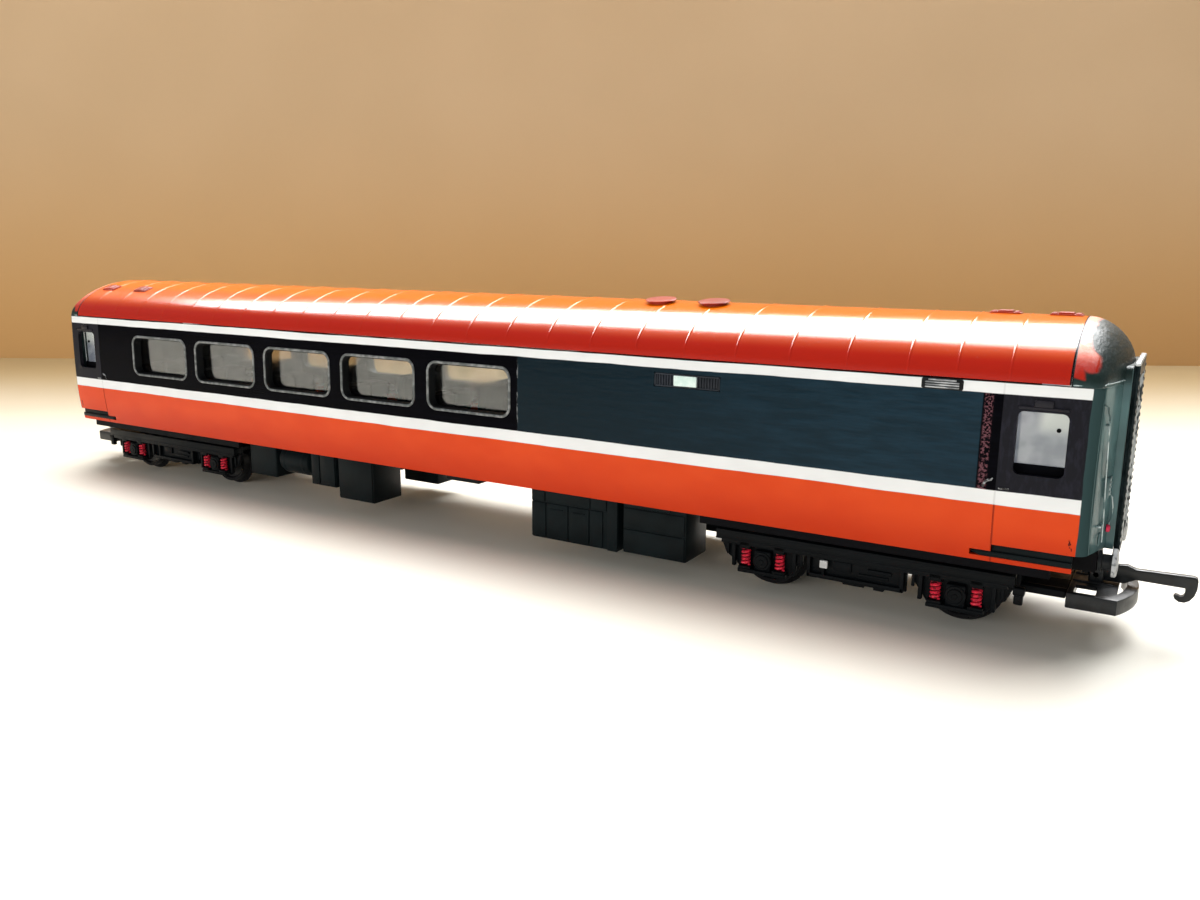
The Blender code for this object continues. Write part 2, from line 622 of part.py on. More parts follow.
def build_ends():
    for end, sign in ENDS.items():
        turned = Matrix.Diagonal((sign, 1, 1, 1))

        def at_end(shape):
            bmesh.ops.transform(shape, matrix=turned, verts=shape.verts)
            return shape

        bellows = block(
            (GANGWAY_BACK, -BELLOWS_HALF_WIDTH, BELLOWS_LOW),
            (GANGWAY_PLATE + 2 * FIT, BELLOWS_HALF_WIDTH, BELLOWS_HIGH),
        )
        face = block(
            (GANGWAY_PLATE, -GANGWAY_HALF_WIDTH, GANGWAY_LOW),
            (GANGWAY_FRONT, GANGWAY_HALF_WIDTH, GANGWAY_HIGH),
            "X",
            1.2 * MM,
            3,
        )
        hole = block(
            (GANGWAY_BACK - MM, -DOORWAY_HALF_WIDTH, DOORWAY_LOW),
            (GANGWAY_FRONT + MM, DOORWAY_HALF_WIDTH, DOORWAY_HIGH),
        )
        make(
            f"gangway_{end}",
            MATERIALS["rubber"],
            at_end(bellows),
            add=[at_end(face)],
            cut=[at_end(hole)],
        )
        door = block(
            (GANGWAY_BACK, FIT - DOORWAY_HALF_WIDTH, DOORWAY_LOW + FIT),
            (CORRIDOR_DOOR_FACE, DOORWAY_HALF_WIDTH - FIT, DOORWAY_HIGH - FIT),
        )
        knob = (CORRIDOR_DOOR_FACE - FIT, CORRIDOR_DOOR_FACE + 4 * FIT)
        handle = rod("X", (3.6 * MM, 29.5 * MM), 0.4 * MM, *knob, 10)
        make(f"corridor_door_{end}", MATERIALS["body"], at_end(door), add=[at_end(handle)])
        for side, across in SIDES.items():
            y = across * BUFFER_SPACING / 2
            middle = (y, BUFFER_HEIGHT)
            shank = rod("X", middle, SHANK_RADIUS, 130.2 * MM, 132.2 * MM, 16)
            head = rod("X", middle, HEAD_RADIUS, 132.0 * MM, 132.8 * MM, 24)
            crown = rod("X", middle, CROWN_RADIUS, 132.7 * MM, 133.0 * MM, 24, 1.5 * MM)
            make(
                f"buffer_{end}_{side}",
                MATERIALS["bogie"],
                at_end(shank),
                add=[at_end(head), at_end(crown)],
            )


# The bogies, wheels and couplings


def side_frame_outline():
    """A bogie side frame in (x, z): the bar, with an axle guard below it at each end."""
    half = [
        (25.9, 11.5),
        (25.9, 9.4),
        (25.5, 8.4),
        (24.6, 6.4),
        (22.4, 4.9),
        (20.8, 3.6),
        (13.2, 3.6),
        (11.6, 4.9),
        (10.0, 7.2),
        (9.7, 9.4),
        (8.7, 9.4),
        (8.7, 5.0),
    ]
    right = [(x * MM, z * MM) for x, z in half]
    return right + [(-x, z) for x, z in reversed(right)]


def bogie_shapes(sign):
    """(first solid, additions, cuts) of a bogie frame centred on x = 0."""
    plate_low = BOGIE_TOP - BOGIE_PLATE
    plate = block((-25.8 * MM, -13 * MM, plate_low), (25.8 * MM, 13 * MM, BOGIE_TOP))
    additions, cuts = [], []
    for across in SIDES.values():
        ys = sorted((across * SIDE_PLATE_IN, across * SIDE_PLATE_OUT))
        additions.append(outline_plate([side_frame_outline()], "Y", *ys))
        ys = sorted((across * 13.0 * MM, across * SIDE_BAR_OUT))
        bar = (BOGIE_HALF_LENGTH, 9.6 * MM, 11.45 * MM)
        additions.append(block((-bar[0], ys[0], bar[1]), (bar[0], ys[1], bar[2])))
        ys = sorted((across * 13.0 * MM, across * 14.6 * MM))
        panel = block((-8.5 * MM, ys[0], 5.1 * MM), (8.5 * MM, ys[1], 9.7 * MM))
        additions.append(panel)
        ys = sorted((across * 13.9 * MM, across * 16 * MM))
        cuts.append(block((-5.6 * MM, ys[0], 5.9 * MM), (7.6 * MM, ys[1], 8.9 * MM)))
        for axle in (-1, 1):
            x = axle * WHEELBASE / 2
            ys = sorted((across * 13.1 * MM, across * 15.0 * MM))
            box = block((x - 1.6 * MM, ys[0], 4.2 * MM), (x + 1.6 * MM, ys[1], 8.2 * MM))
            seat = block((x - 4.6 * MM, ys[0], 3.75 * MM), (x + 4.6 * MM, ys[1], 4.5 * MM))
            additions += [box, seat]
            ys = sorted((across * 6.7 * MM, across * 10.8 * MM))
            low = (x - 6.8 * MM, ys[0], 9 * MM)
            cuts.append(block(low, (x + 6.8 * MM, ys[1], 13 * MM)))
    for axle in (-1, 1):
        x = axle * WHEELBASE / 2
        reach = 12.9 * MM
        cuts.append(rod("Y", (x, AXLE_HEIGHT), AXLE_RADIUS + 0.08 * MM, -reach, reach, 16))
    xs = sorted((sign * 24.4 * MM, sign * 26.2 * MM))
    additions.append(block((xs[0], -9 * MM, 7.2 * MM), (xs[1], 9 * MM, 11 * MM)))
    xs = sorted((sign * 26.0 * MM, sign * 32.95 * MM))
    additions.append(block((xs[0], -9 * MM, 7.2 * MM), (xs[1], 9 * MM, 8.5 * MM)))
    cuts.append(rod("Z", (0, 0), PIN_RADIUS + 0.08 * MM, 8 * MM, 13 * MM, 20))
    return plate, additions, cuts


def wheel_mesh():
    """A wheel turned about its own Y axis: a Screw-modified profile, facing +Y."""
    inner = BACK_TO_BACK / 2
    profile = [
        (1.0, 10.2),
        (2.0, 10.2),
        (2.2, 9.5),
        (5.0, 9.5),
        (5.2, 10.0),
        (5.95, 10.0),
        (6.05, 8.1),
        (6.9, 7.75),
        (6.9, 7.4),
        (6.5, inner / MM),
        (1.0, inner / MM),
    ]
    mesh = bpy.data.meshes.new("wheel_profile")
    points = [(radius * MM, y * MM, 0) for radius, y in profile]
    edges = [(i, (i + 1) % len(points)) for i in range(len(points))]
    mesh.from_pydata(points, edges, [])
    turner = bpy.data.objects.new("wheel_profile", mesh)
    bpy.context.scene.collection.objects.link(turner)
    screw = turner.modifiers.new("Turn", "SCREW")
    screw.axis = "Y"
    screw.steps = screw.render_steps = 24
    screw.use_merge_vertices = True
    screw.merge_threshold = 0.00001
    bpy.context.view_layer.update()
    graph = bpy.context.evaluated_depsgraph_get()
    turned = bpy.data.meshes.new_from_object(turner.evaluated_get(graph))
    bpy.data.objects.remove(turner, do_unlink=True)
    bpy.data.meshes.remove(mesh)
    return turned


def coupler_outline():
    """The coupling bar from above: a bowed front, with a crescent gap and two slots behind it."""
    steps = 10
    front = []
    for i in range(steps + 1):
        y = COUPLER_HALF_WIDTH * (1 - 2 * i / steps)
        share = 1 - (y / COUPLER_HALF_WIDTH) ** 2
        front.append((COUPLER_SHOULDER + (COUPLER_APEX - COUPLER_SHOULDER) * share, y))
    outer = [(COUPLER_FROM, -COUPLER_HALF_WIDTH), (COUPLER_FROM, COUPLER_HALF_WIDTH), *front]
    gap = [(CRESCENT_FROM, -CRESCENT_HALF_WIDTH), (CRESCENT_FROM, CRESCENT_HALF_WIDTH)]
    for i in range(1, 6):
        share = 1 - 2 * i / 6
        x = CRESCENT_FROM + CRESCENT_DEPTH * (1 - share**2)
        gap.append((x, CRESCENT_HALF_WIDTH * share))
    slots = [
        [(SLOT_FROM, near), (SLOT_TO, near), (SLOT_TO, far), (SLOT_FROM, far)]
        for near, far in SLOTS
    ]
    return [outer, gap, *slots]


def hook_outline():
    """The coupling hook in (x, z): arm, drop and barbed tip."""
    points = [
        (128.2, 9.2),
        (128.2, 10.6),
        (129.0, 11.2),
        (134.0, 11.9),
        (135.2, 11.4),
        (143.6, 11.6),
        (144.1, 11.0),
        (144.1, 9.4),
        (143.4, 7.7),
        (142.4, 7.1),
        (141.5, 7.2),
        (140.9, 7.9),
        (141.3, 8.3),
        (142.2, 8.2),
        (142.4, 9.5),
        (135.4, 9.6),
        (133.8, 8.75),
        (129.6, 8.7),
    ]
    return [(x * MM, z * MM) for x, z in points]


def build_bogies():
    wheel = wheel_mesh()
    for end, sign in ENDS.items():
        centre = sign * BOGIE_CENTRES / 2
        swivel = pivot(f"bogie_swivel_{end}", (centre, 0, BOGIE_TOP))
        shift = Matrix.Translation((centre, 0, 0))

        def on_bogie(shape):
            bmesh.ops.transform(shape, matrix=shift, verts=shape.verts)
            return shape

        plate, additions, cuts = bogie_shapes(sign)
        make(
            f"bogie_frame_{end}",
            MATERIALS["bogie"],
            on_bogie(plate),
            add=[on_bogie(shape) for shape in additions],
            cut=[on_bogie(shape) for shape in cuts],
            place=(centre, 0, BOGIE_TOP),
            parent=swivel,
        )
        for place, axle_sign in (("outer", sign), ("inner", -sign)):
            x = centre + axle_sign * WHEELBASE / 2
            spin = pivot(f"wheelset_{end}_{place}", (x, 0, AXLE_HEIGHT))
            spin.parent = swivel
            spin.matrix_parent_inverse = swivel.matrix_world.inverted()
            bpy.context.view_layer.update()
            shaft = rod("Y", (x, AXLE_HEIGHT), AXLE_RADIUS, -12.6 * MM, 12.6 * MM, 12)
            middle = (x, 0, AXLE_HEIGHT)
            name = f"axle_{end}_{place}"
            make(name, MATERIALS["steel"], shaft, place=middle, parent=spin)
            for side, across in SIDES.items():
                obj = link(f"wheel_{end}_{place}_{side}", wheel.copy(), PARTS, MATERIALS["wheel"])
                obj.parent = spin
                obj.matrix_parent_inverse = spin.matrix_world.inverted()
                obj.location = middle
                obj.rotation_euler = (0, 0, 0 if across > 0 else math.pi)
                obj.data.shade_smooth()
                obj.data.set_sharp_from_angle(angle=math.radians(35))
        build_coupling(end, sign, swivel)
    bpy.data.meshes.remove(wheel)


def build_coupling(end, sign, swivel):
    turn = Matrix.Rotation(0 if sign > 0 else math.pi, 4, "Z")

    def at_end(shape):
        bmesh.ops.transform(shape, matrix=turn, verts=shape.verts)
        return shape

    pin_x, pin_z = HOOK_PIVOT
    ears = []
    for across in SIDES.values():
        ys = sorted((across * 0.75 * MM, across * 1.9 * MM))
        low = (pin_x - 1.1 * MM, ys[0], COUPLER_HIGH - 0.5 * MM)
        ears.append(at_end(block(low, (pin_x + 1.1 * MM, ys[1], pin_z + 1.1 * MM))))
    bore = at_end(rod("Y", HOOK_PIVOT, 0.55 * MM, -3 * MM, 3 * MM, 14))
    inside = COUPLER_HALF_WIDTH - COUPLER_WALL
    hollow = at_end(
        block(
            (COUPLER_FROM + COUPLER_WALL, -inside, COUPLER_LOW - MM),
            (CRESCENT_FROM + FIT / 2, inside, COUPLER_HIGH - COUPLER_SKIN),
        )
    )
    body = at_end(outline_plate(coupler_outline(), "Z", COUPLER_LOW, COUPLER_HIGH))
    make(
        f"coupling_bar_{end}",
        MATERIALS["bogie"],
        body,
        add=ears,
        cut=[bore, hollow],
        parent=swivel,
    )
    lift = pivot(f"hook_lift_{end}", (sign * pin_x, 0, pin_z))
    lift.parent = swivel
    lift.matrix_parent_inverse = swivel.matrix_world.inverted()
    bpy.context.view_layer.update()
    arm = at_end(outline_plate([hook_outline()], "Y", -0.6 * MM, 0.6 * MM))
    pin = at_end(rod("Y", HOOK_PIVOT, 0.48 * MM, -1.9 * MM, 1.9 * MM, 14))
    make(
        f"coupling_hook_{end}",
        MATERIALS["bogie"],
        arm,
        add=[pin],
        place=(sign * pin_x, 0, pin_z),
        parent=lift,
    )


clear_scene()
PARTS = new_collection("model_passenger_coach")
CUTTERS = new_collection("cutters")
MATERIALS = {
    "body": new_material("body_paint", (0.72, 0.12, 0.02), 0.25),
    "roof": new_material("roof_paint", (0.80, 0.16, 0.02), 0.2),
    "glazing": new_material("clear_glazing", (0.75, 0.8, 0.82), 0.08, alpha=0.4),
    "trim": new_material("trim_plastic", (0.03, 0.04, 0.05), 0.4),
    "lamp": new_material("indicator_paint", (0.7, 0.85, 0.8), 0.4),
    "interior": new_material("interior_plastic", (0.3, 0.3, 0.32), 0.6),
    "steel": new_material("bare_steel", (0.55, 0.55, 0.56), 0.35, 1.0),
    "underframe": new_material("underframe_plastic", (0.02, 0.03, 0.035), 0.45),
    "rubber": new_material("gangway_rubber", (0.01, 0.01, 0.012), 0.55),
    "bogie": new_material("bogie_plastic", (0.015, 0.015, 0.017), 0.4),
    "wheel": new_material("wheel_plastic", (0.02, 0.02, 0.02), 0.45),
}
build_body()
build_roof()
build_roof_vents()
build_side_fittings()
build_interior()
build_underframe()
build_equipment()
build_ends()
build_bogies()
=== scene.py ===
"""The looks of a hand-painted model passenger coach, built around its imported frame."""

import math

import bmesh
import bpy
from mathutils import Matrix, Vector


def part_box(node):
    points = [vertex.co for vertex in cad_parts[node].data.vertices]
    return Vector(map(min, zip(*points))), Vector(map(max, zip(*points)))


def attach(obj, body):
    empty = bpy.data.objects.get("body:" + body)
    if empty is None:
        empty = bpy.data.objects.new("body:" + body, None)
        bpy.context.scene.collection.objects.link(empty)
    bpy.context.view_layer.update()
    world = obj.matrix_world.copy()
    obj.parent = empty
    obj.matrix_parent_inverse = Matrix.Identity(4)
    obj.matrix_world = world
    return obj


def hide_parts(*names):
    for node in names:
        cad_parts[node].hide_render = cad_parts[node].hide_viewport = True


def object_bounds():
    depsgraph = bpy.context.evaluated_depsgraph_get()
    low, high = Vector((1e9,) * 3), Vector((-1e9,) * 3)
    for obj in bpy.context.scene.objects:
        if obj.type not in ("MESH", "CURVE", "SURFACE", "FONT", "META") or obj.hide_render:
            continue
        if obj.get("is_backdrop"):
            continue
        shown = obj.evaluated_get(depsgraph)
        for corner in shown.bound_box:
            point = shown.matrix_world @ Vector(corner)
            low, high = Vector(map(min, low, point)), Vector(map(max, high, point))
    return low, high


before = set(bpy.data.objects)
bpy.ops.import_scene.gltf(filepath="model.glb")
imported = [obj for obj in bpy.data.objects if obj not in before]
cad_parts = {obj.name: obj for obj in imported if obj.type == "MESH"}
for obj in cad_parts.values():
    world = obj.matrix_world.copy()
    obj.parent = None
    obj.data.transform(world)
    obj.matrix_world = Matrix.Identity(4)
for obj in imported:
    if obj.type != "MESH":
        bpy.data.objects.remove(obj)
CAD_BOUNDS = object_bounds()

MM = 0.001
ENDS = {"front": 1, "rear": -1}
SIDES = {"left": 1, "right": -1}
PLACES = {"outer": 1, "inner": -1}

# Sizes read from the frame
ROOF_LOW, ROOF_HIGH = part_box("roof")
GUTTER = ROOF_LOW.z - 0.05 * MM
GUTTER_HALF_WIDTH = ROOF_HIGH.y
ROOF_RISE = ROOF_HIGH.z - ROOF_LOW.z
ROOF_END = ROOF_HIGH.x
BODY_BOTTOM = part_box("body_shell")[0].z
STEP_LOW, STEP_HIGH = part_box("step_board_front_right")
GRILLE_LOW, GRILLE_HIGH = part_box("kitchen_grille")
LAMP_LOW, LAMP_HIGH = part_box("indicator_panel")

# The body's form and its painted zones
HALF_WIDTH = 18.5 * MM
WAIST = 28.0 * MM
ROOF_POWER = 1.85
BODY_END = 131.7 * MM
END_BOW = 10.65
CORNER_START, CORNER_WIDTH = 127.0 * MM, 1.85 * MM
DOME_START, DOME_EDGE_RISE = 124.5 * MM, 1.7 * MM
DOOR_BOTTOM = STEP_HIGH.z + 0.05 * MM
WALL = 1.0 * MM
WINDOW_X = [(-89.7 + 25.3 * i) * MM for i in range(5)]
WINDOW_Z = 33.5 * MM
WINDOW_SIZE = 21.0 * MM, 9.6 * MM, 2.0 * MM
DOOR_WINDOW_X, DOOR_WINDOW_Z = 121.1 * MM, 33.7 * MM
DOOR_WINDOW_SIZE = 7.2 * MM, 9.8 * MM, 0.95 * MM
KICK_FROM, STEP_TOP = 115.3 * MM, 15.8 * MM
DOOR_LINE = 115.3 * MM
FILM_FROM, FILM_TO = 24.2 * MM, 112.35 * MM
LOWER_STRIPE = (23.57 * MM, 25.87 * MM)
UPPER_STRIPE = (40.97 * MM, 42.62 * MM)
STRIPE_END = 127.35 * MM
DOME_LEFT, DOME_RIGHT = -ROOF_END - 0.1 * MM, ROOF_END + 0.1 * MM
RIB_PITCH = 9.93 * MM
RIBS = [31.0 * MM + RIB_PITCH * i for i in range(-15, 8)] + [108.1 * MM, 115.9 * MM]


# Materials: each is a Principled shader whose colour, roughness and bump come from nodes


class Finish:
    """A material put together node by node, in the piece's own coordinates."""

    def __init__(self, name, roughness=0.4, metallic=0.0, coat=0.0, ior=1.5, specular=0.5):
        self.material = bpy.data.materials.new(name)
        self.material.use_nodes = True
        self.tree = self.material.node_tree
        self.shader = self.tree.nodes["Principled BSDF"]
        self.shader.inputs["Roughness"].default_value = roughness
        self.shader.inputs["Metallic"].default_value = metallic
        self.shader.inputs["IOR"].default_value = ior
        self.shader.inputs["Specular IOR Level"].default_value = specular
        self.shader.inputs["Coat Weight"].default_value = coat
        self.shader.inputs["Coat Roughness"].default_value = 0.06
        self.place = self.node("ShaderNodeTexCoord").outputs["Object"]
        self.bumps = None

    def node(self, kind, **inputs):
        made = self.tree.nodes.new(kind)
        for key, value in inputs.items():
            self.feed(made.inputs[key.replace("_", " ")], value)
        return made

    def feed(self, socket, value):
        if isinstance(value, bpy.types.NodeSocket):
            self.tree.links.new(value, socket)
        elif isinstance(value, tuple) and len(value) == 3 and socket.type == "RGBA":
            socket.default_value = (*value, 1.0)
        else:
            socket.default_value = value

    def axis(self, name):
        split = self.node("ShaderNodeSeparateXYZ")
        self.feed(split.inputs[0], self.place)
        return split.outputs[name]

    def sum(self, operation, *values):
        made = self.tree.nodes.new("ShaderNodeMath")
        made.operation = operation
        for socket, value in zip(made.inputs, values):
            self.feed(socket, value)
        return made.outputs[0]

    def times(self, first, second):
        return self.sum("MULTIPLY", first, second)

    def either(self, first, second):
        return self.sum("MAXIMUM", first, second)

    def mottle(self, size, stretch=(1, 1, 1), detail=4.0, seed=0.0, roughness=0.55):
        """Noise with features about size metres across, stretched along the axes."""
        move = self.node("ShaderNodeMapping")
        move.inputs["Scale"].default_value = [1 / (size * s) for s in stretch]
        move.inputs["Location"].default_value = (seed, seed * 1.7, seed * 0.6)
        self.feed(move.inputs["Vector"], self.place)
        grain = self.node("ShaderNodeTexNoise", Vector=move.outputs[0], Scale=1.0, Detail=detail)
        grain.inputs["Roughness"].default_value = roughness
        return grain.outputs["Fac"]

    def step(self, value, low, high, rise_from=0.0, rise_to=1.0):
        """Turns a value from low to high smoothly into 0 to 1."""
        made = self.node("ShaderNodeMapRange", Value=value)
        made.interpolation_type = "SMOOTHSTEP"
        made.inputs["From Min"].default_value = low
        made.inputs["From Max"].default_value = high
        made.inputs["To Min"].default_value = rise_from
        made.inputs["To Max"].default_value = rise_to
        return made.outputs[0]

    def between(self, value, low, high, soft):
        """1 between low and high, with edges this soft."""
        up = self.step(value, low - soft, low + soft)
        down = self.step(value, high - soft, high + soft, 1.0, 0.0)
        return self.times(up, down)

    def mix(self, share, first, second):
        made = self.tree.nodes.new("ShaderNodeMix")
        made.data_type = "RGBA"
        self.feed(made.inputs["Factor"], share)
        self.feed(made.inputs["A"], first)
        self.feed(made.inputs["B"], second)
        return made.outputs["Result"]

    def blend(self, share, first, second):
        made = self.tree.nodes.new("ShaderNodeMix")
        self.feed(made.inputs["Factor"], share)
        self.feed(made.inputs["A"], first)
        self.feed(made.inputs["B"], second)
        return made.outputs["Result"]

    def colour(self, value):
        self.feed(self.shader.inputs["Base Color"], value)

    def rough(self, value):
        self.feed(self.shader.inputs["Roughness"], value)

    def bump(self, height, depth, strength=1.0):
        """Adds a relief this many metres deep to those already there."""
        made = self.node("ShaderNodeBump", Height=height, Strength=strength)
        made.inputs["Distance"].default_value = depth
        if self.bumps:
            self.feed(made.inputs["Normal"], self.bumps)
        self.bumps = made.outputs[0]
        self.feed(self.shader.inputs["Normal"], self.bumps)
        if self.shader.inputs["Coat Weight"].default_value > 0:
            self.feed(self.shader.inputs["Coat Normal"], self.bumps)


def tinted(colour, factor):
    return tuple(min(channel * factor, 1.0) for channel in colour)


def moulded(name, colour, roughness=0.42, spread=0.25, grain=0.5 * MM, specular=0.18):
    """Plain moulded or thinly painted plastic: slight mottling, handling marks and fine grain."""
    finish = Finish(name, roughness, specular=specular)
    patches = finish.mottle(6 * MM, detail=3.0, seed=3.1)
    fine = finish.mottle(grain, detail=2.0, seed=7.7)
    light = tinted(colour, 1 + spread)
    shade = finish.mix(finish.step(patches, 0.35, 0.7), tinted(colour, 1 - spread), light)
    speck = finish.step(fine, 0.66, 0.74)
    dust = tuple(channel * 0.5 + 0.015 for channel in tinted(colour, 1.6))
    finish.colour(finish.mix(finish.times(speck, 0.3), shade, dust))
    finish.rough(finish.step(patches, 0.3, 0.75, roughness - 0.08, roughness + 0.1))
    finish.bump(fine, 0.012 * MM, 0.7)
    return finish


def gloss_paint(name, colour, deep, roughness=0.16, brush=(14, 1, 1), specular=0.5):
    """Enamel laid on with a brush: long fine ridges, pooled colour and a few specks of dust."""
    finish = Finish(name, roughness, ior=1.52, specular=specular)
    strokes = finish.mottle(0.9 * MM, brush, detail=5.0, seed=2.3, roughness=0.6)
    pools = finish.mottle(9 * MM, (2, 1, 1), detail=2.0, seed=5.9)
    shade = finish.mix(finish.step(pools, 0.3, 0.7), deep, colour)
    finish.colour(finish.mix(finish.step(strokes, 0.62, 0.8, 0.0, 0.35), shade, deep))
    specks = finish.mottle(0.35 * MM, detail=1.0, seed=9.4)
    finish.bump(strokes, 0.03 * MM, 0.35)
    finish.bump(finish.step(specks, 0.74, 0.8), 0.02 * MM, 0.5)
    return finish


def patchy(
    name, roughness, size, seed, edges, dark, light, relief, stretch=(1, 1, 1), detail=4.0, **kind
):
    """Worn paint or metal: two colours in patches, with a relief (depth in mm, strength)."""
    finish = Finish(name, roughness, **kind)
    patch = finish.mottle(size * MM, stretch, detail=detail, seed=seed)
    finish.colour(finish.mix(finish.step(patch, *edges), dark, light))
    finish.bump(patch, relief[0] * MM, relief[1])
    return finish, patch


ORANGE, ORANGE_DEEP = (0.66, 0.060, 0.007), (0.62, 0.050, 0.005)
# ROOF_SHADED is painted shade: the darker red of the lower roof and of the lower orange on the
# domes.
ROOF_ORANGE, ROOF_SHADED = (0.80, 0.120, 0.005), (0.40, 0.010, 0.0005)
OFF_WHITE = (0.80, 0.81, 0.81)
BLACK = (0.001, 0.001, 0.002)
FILM_DARK, FILM_BLUE = (0.002, 0.009, 0.014), (0.008, 0.026, 0.042)
DOOR_BLACK = (0.008, 0.008, 0.012)
END_GREEN = (0.080, 0.150, 0.155)


def body_finish():
    """Every painted zone of the sides, domes and ends, with hand-painted edges between."""
    finish = Finish("coach_body_paint", 0.2, ior=1.52)
    x, z = finish.axis("X"), finish.axis("Z")
    reach = finish.sum("ABSOLUTE", x)
    wander = finish.mottle(5 * MM, (3, 1, 1), detail=3.0, seed=1.3)
    ragged = finish.times(finish.sum("SUBTRACT", wander, 0.5), 0.45 * MM)
    height = finish.sum("ADD", z, ragged)
    strokes = finish.mottle(0.8 * MM, (12, 1, 1), detail=4.0, seed=4.4)
    pools = finish.mottle(8 * MM, (2, 1, 1), detail=2.0, seed=6.1)

    orange = finish.mix(finish.step(pools, 0.35, 0.65), ORANGE_DEEP, ORANGE)
    shadow = finish.step(z, BODY_BOTTOM, 22 * MM, 0.55, 0.0)
    orange = finish.mix(shadow, orange, (0.40, 0.012, 0.001))
    # Painted shade: the door line's groove is darkened in the orange.
    groove = finish.between(reach, DOOR_LINE - 0.13 * MM, DOOR_LINE + 0.13 * MM, 0.07 * MM)
    orange = finish.mix(finish.times(groove, 0.7), orange, (0.20, 0.010, 0.001))
    black = finish.mix(finish.step(strokes, 0.4, 0.75), BLACK, tinted(BLACK, 1.9))
    film_wave = finish.mottle(0.9 * MM, (8, 1, 1), detail=5.0, seed=8.2, roughness=0.6)
    film = finish.between(x, FILM_FROM, FILM_TO, 0.12 * MM)
    sheen = finish.step(x, FILM_FROM, FILM_TO, 0.15, 1.5)
    sheen = finish.times(finish.step(film_wave, 0.3, 0.8, 0.35, 0.85), sheen)
    film_shade = finish.mix(sheen, FILM_DARK, FILM_BLUE)
    black = finish.mix(film, black, film_shade)
    door = finish.step(reach, DOOR_LINE - 0.1 * MM, DOOR_LINE + 0.1 * MM)
    scuffs = finish.mottle(0.7 * MM, (1, 1, 3), detail=5.0, seed=2.9)
    door_shade = finish.mix(finish.step(scuffs, 0.45, 0.7), DOOR_BLACK, tinted(DOOR_BLACK, 2.0))
    black = finish.mix(door, black, door_shade)
    stipple = finish.step(finish.mottle(0.32 * MM, detail=3.0, seed=3.7), 0.45, 0.60)
    strip = finish.between(x, FILM_TO + 0.3 * MM, FILM_TO + 1.5 * MM, 0.2 * MM)
    strip = finish.times(strip, stipple)
    black = finish.mix(finish.times(strip, 0.65), black, (0.22, 0.09, 0.11))
    seam = finish.between(x, FILM_FROM - 0.15 * MM, FILM_FROM + 0.12 * MM, 0.08 * MM)
    chips = finish.step(finish.mottle(0.9 * MM, (0.5, 1, 1.6), seed=5.5), 0.46, 0.62)
    seam = finish.times(seam, chips)
    black = finish.mix(finish.times(seam, 0.5), black, (0.30, 0.32, 0.33))

    white = finish.mix(finish.step(pools, 0.4, 0.7), tinted(OFF_WHITE, 0.94), OFF_WHITE)
    # Painted shade: the groove is greyed where it crosses the white stripes.
    white = finish.mix(finish.times(groove, 0.25), white, (0.45, 0.45, 0.45))
    upper = finish.between(height, *UPPER_STRIPE, 0.06 * MM)
    lower = finish.between(height, *LOWER_STRIPE, 0.06 * MM)
    scratch = finish.step(finish.mottle(0.5 * MM, (1, 1, 2.2), detail=3.0, seed=6.7), 0.56, 0.62)
    near_end = finish.between(reach, 126.2 * MM, 126.9 * MM, 0.2 * MM)
    near_end = finish.times(near_end, finish.between(z, 17.3 * MM, 19.4 * MM, 0.3 * MM))
    orange = finish.mix(finish.times(scratch, near_end), orange, (0.04, 0.003, 0.001))
    skirt = finish.step(height, LOWER_STRIPE[0] - 0.06 * MM, LOWER_STRIPE[0] + 0.06 * MM, 1.0, 0.0)
    paint = finish.mix(skirt, black, orange)
    paint = finish.mix(finish.either(upper, lower), paint, white)
    green = finish.mix(finish.step(pools, 0.3, 0.7), tinted(END_GREEN, 0.7), tinted(END_GREEN, 1.2))
    # Painted shade: the rounded corners of the ends are darker, where they turn away from the
    # light.
    corner = finish.step(finish.sum("ABSOLUTE", finish.axis("Y")), 15.2 * MM, 16.6 * MM)
    green = finish.mix(corner, green, tinted(END_GREEN, 0.4))
    green = finish.mix(finish.step(z, 42 * MM, 44 * MM), green, (0.010, 0.022, 0.020))
    end = finish.step(finish.sum("ADD", reach, ragged), STRIPE_END, STRIPE_END + 0.1 * MM)
    dome = finish.step(z, GUTTER - 0.2 * MM, GUTTER - 0.1 * MM)
    paint = finish.mix(finish.either(end, dome), paint, green)

    blob = finish.mottle(2.6 * MM, detail=1.0, seed=7.3)
    blob = finish.times(finish.sum("SUBTRACT", blob, 0.5), 1.6 * MM)
    bulge = finish.step(z, 46.6 * MM, 49.0 * MM, 1.6 * MM, 0.0)
    near = finish.sum("SUBTRACT", finish.sum("ADD", reach, blob), bulge)
    rise = finish.sum("SUBTRACT", z, finish.times(blob, 0.8))
    inside = finish.step(near, 125.6 * MM, 126.4 * MM, 1.0, 0.0)
    brushed_over = finish.times(inside, finish.step(rise, 44.8 * MM, 45.4 * MM))
    inside = finish.step(near, 124.2 * MM, 124.6 * MM, 1.0, 0.0)
    drip = finish.times(inside, finish.step(rise, 43.8 * MM, 44.2 * MM))
    over = finish.either(brushed_over, drip)
    # Painted shade: the orange brushed over the domes darkens towards its lower edge.
    high = finish.step(z, 45.5 * MM, 49.5 * MM)
    over_dome = finish.mix(high, ROOF_SHADED, ROOF_ORANGE)
    paint = finish.mix(finish.times(over, dome), paint, over_dome)
    joint = finish.step(reach, DOME_RIGHT + 0.1 * MM, DOME_RIGHT + 0.22 * MM, 1.0, 0.0)
    paint = finish.mix(finish.times(joint, dome), paint, BLACK)
    finish.colour(paint)

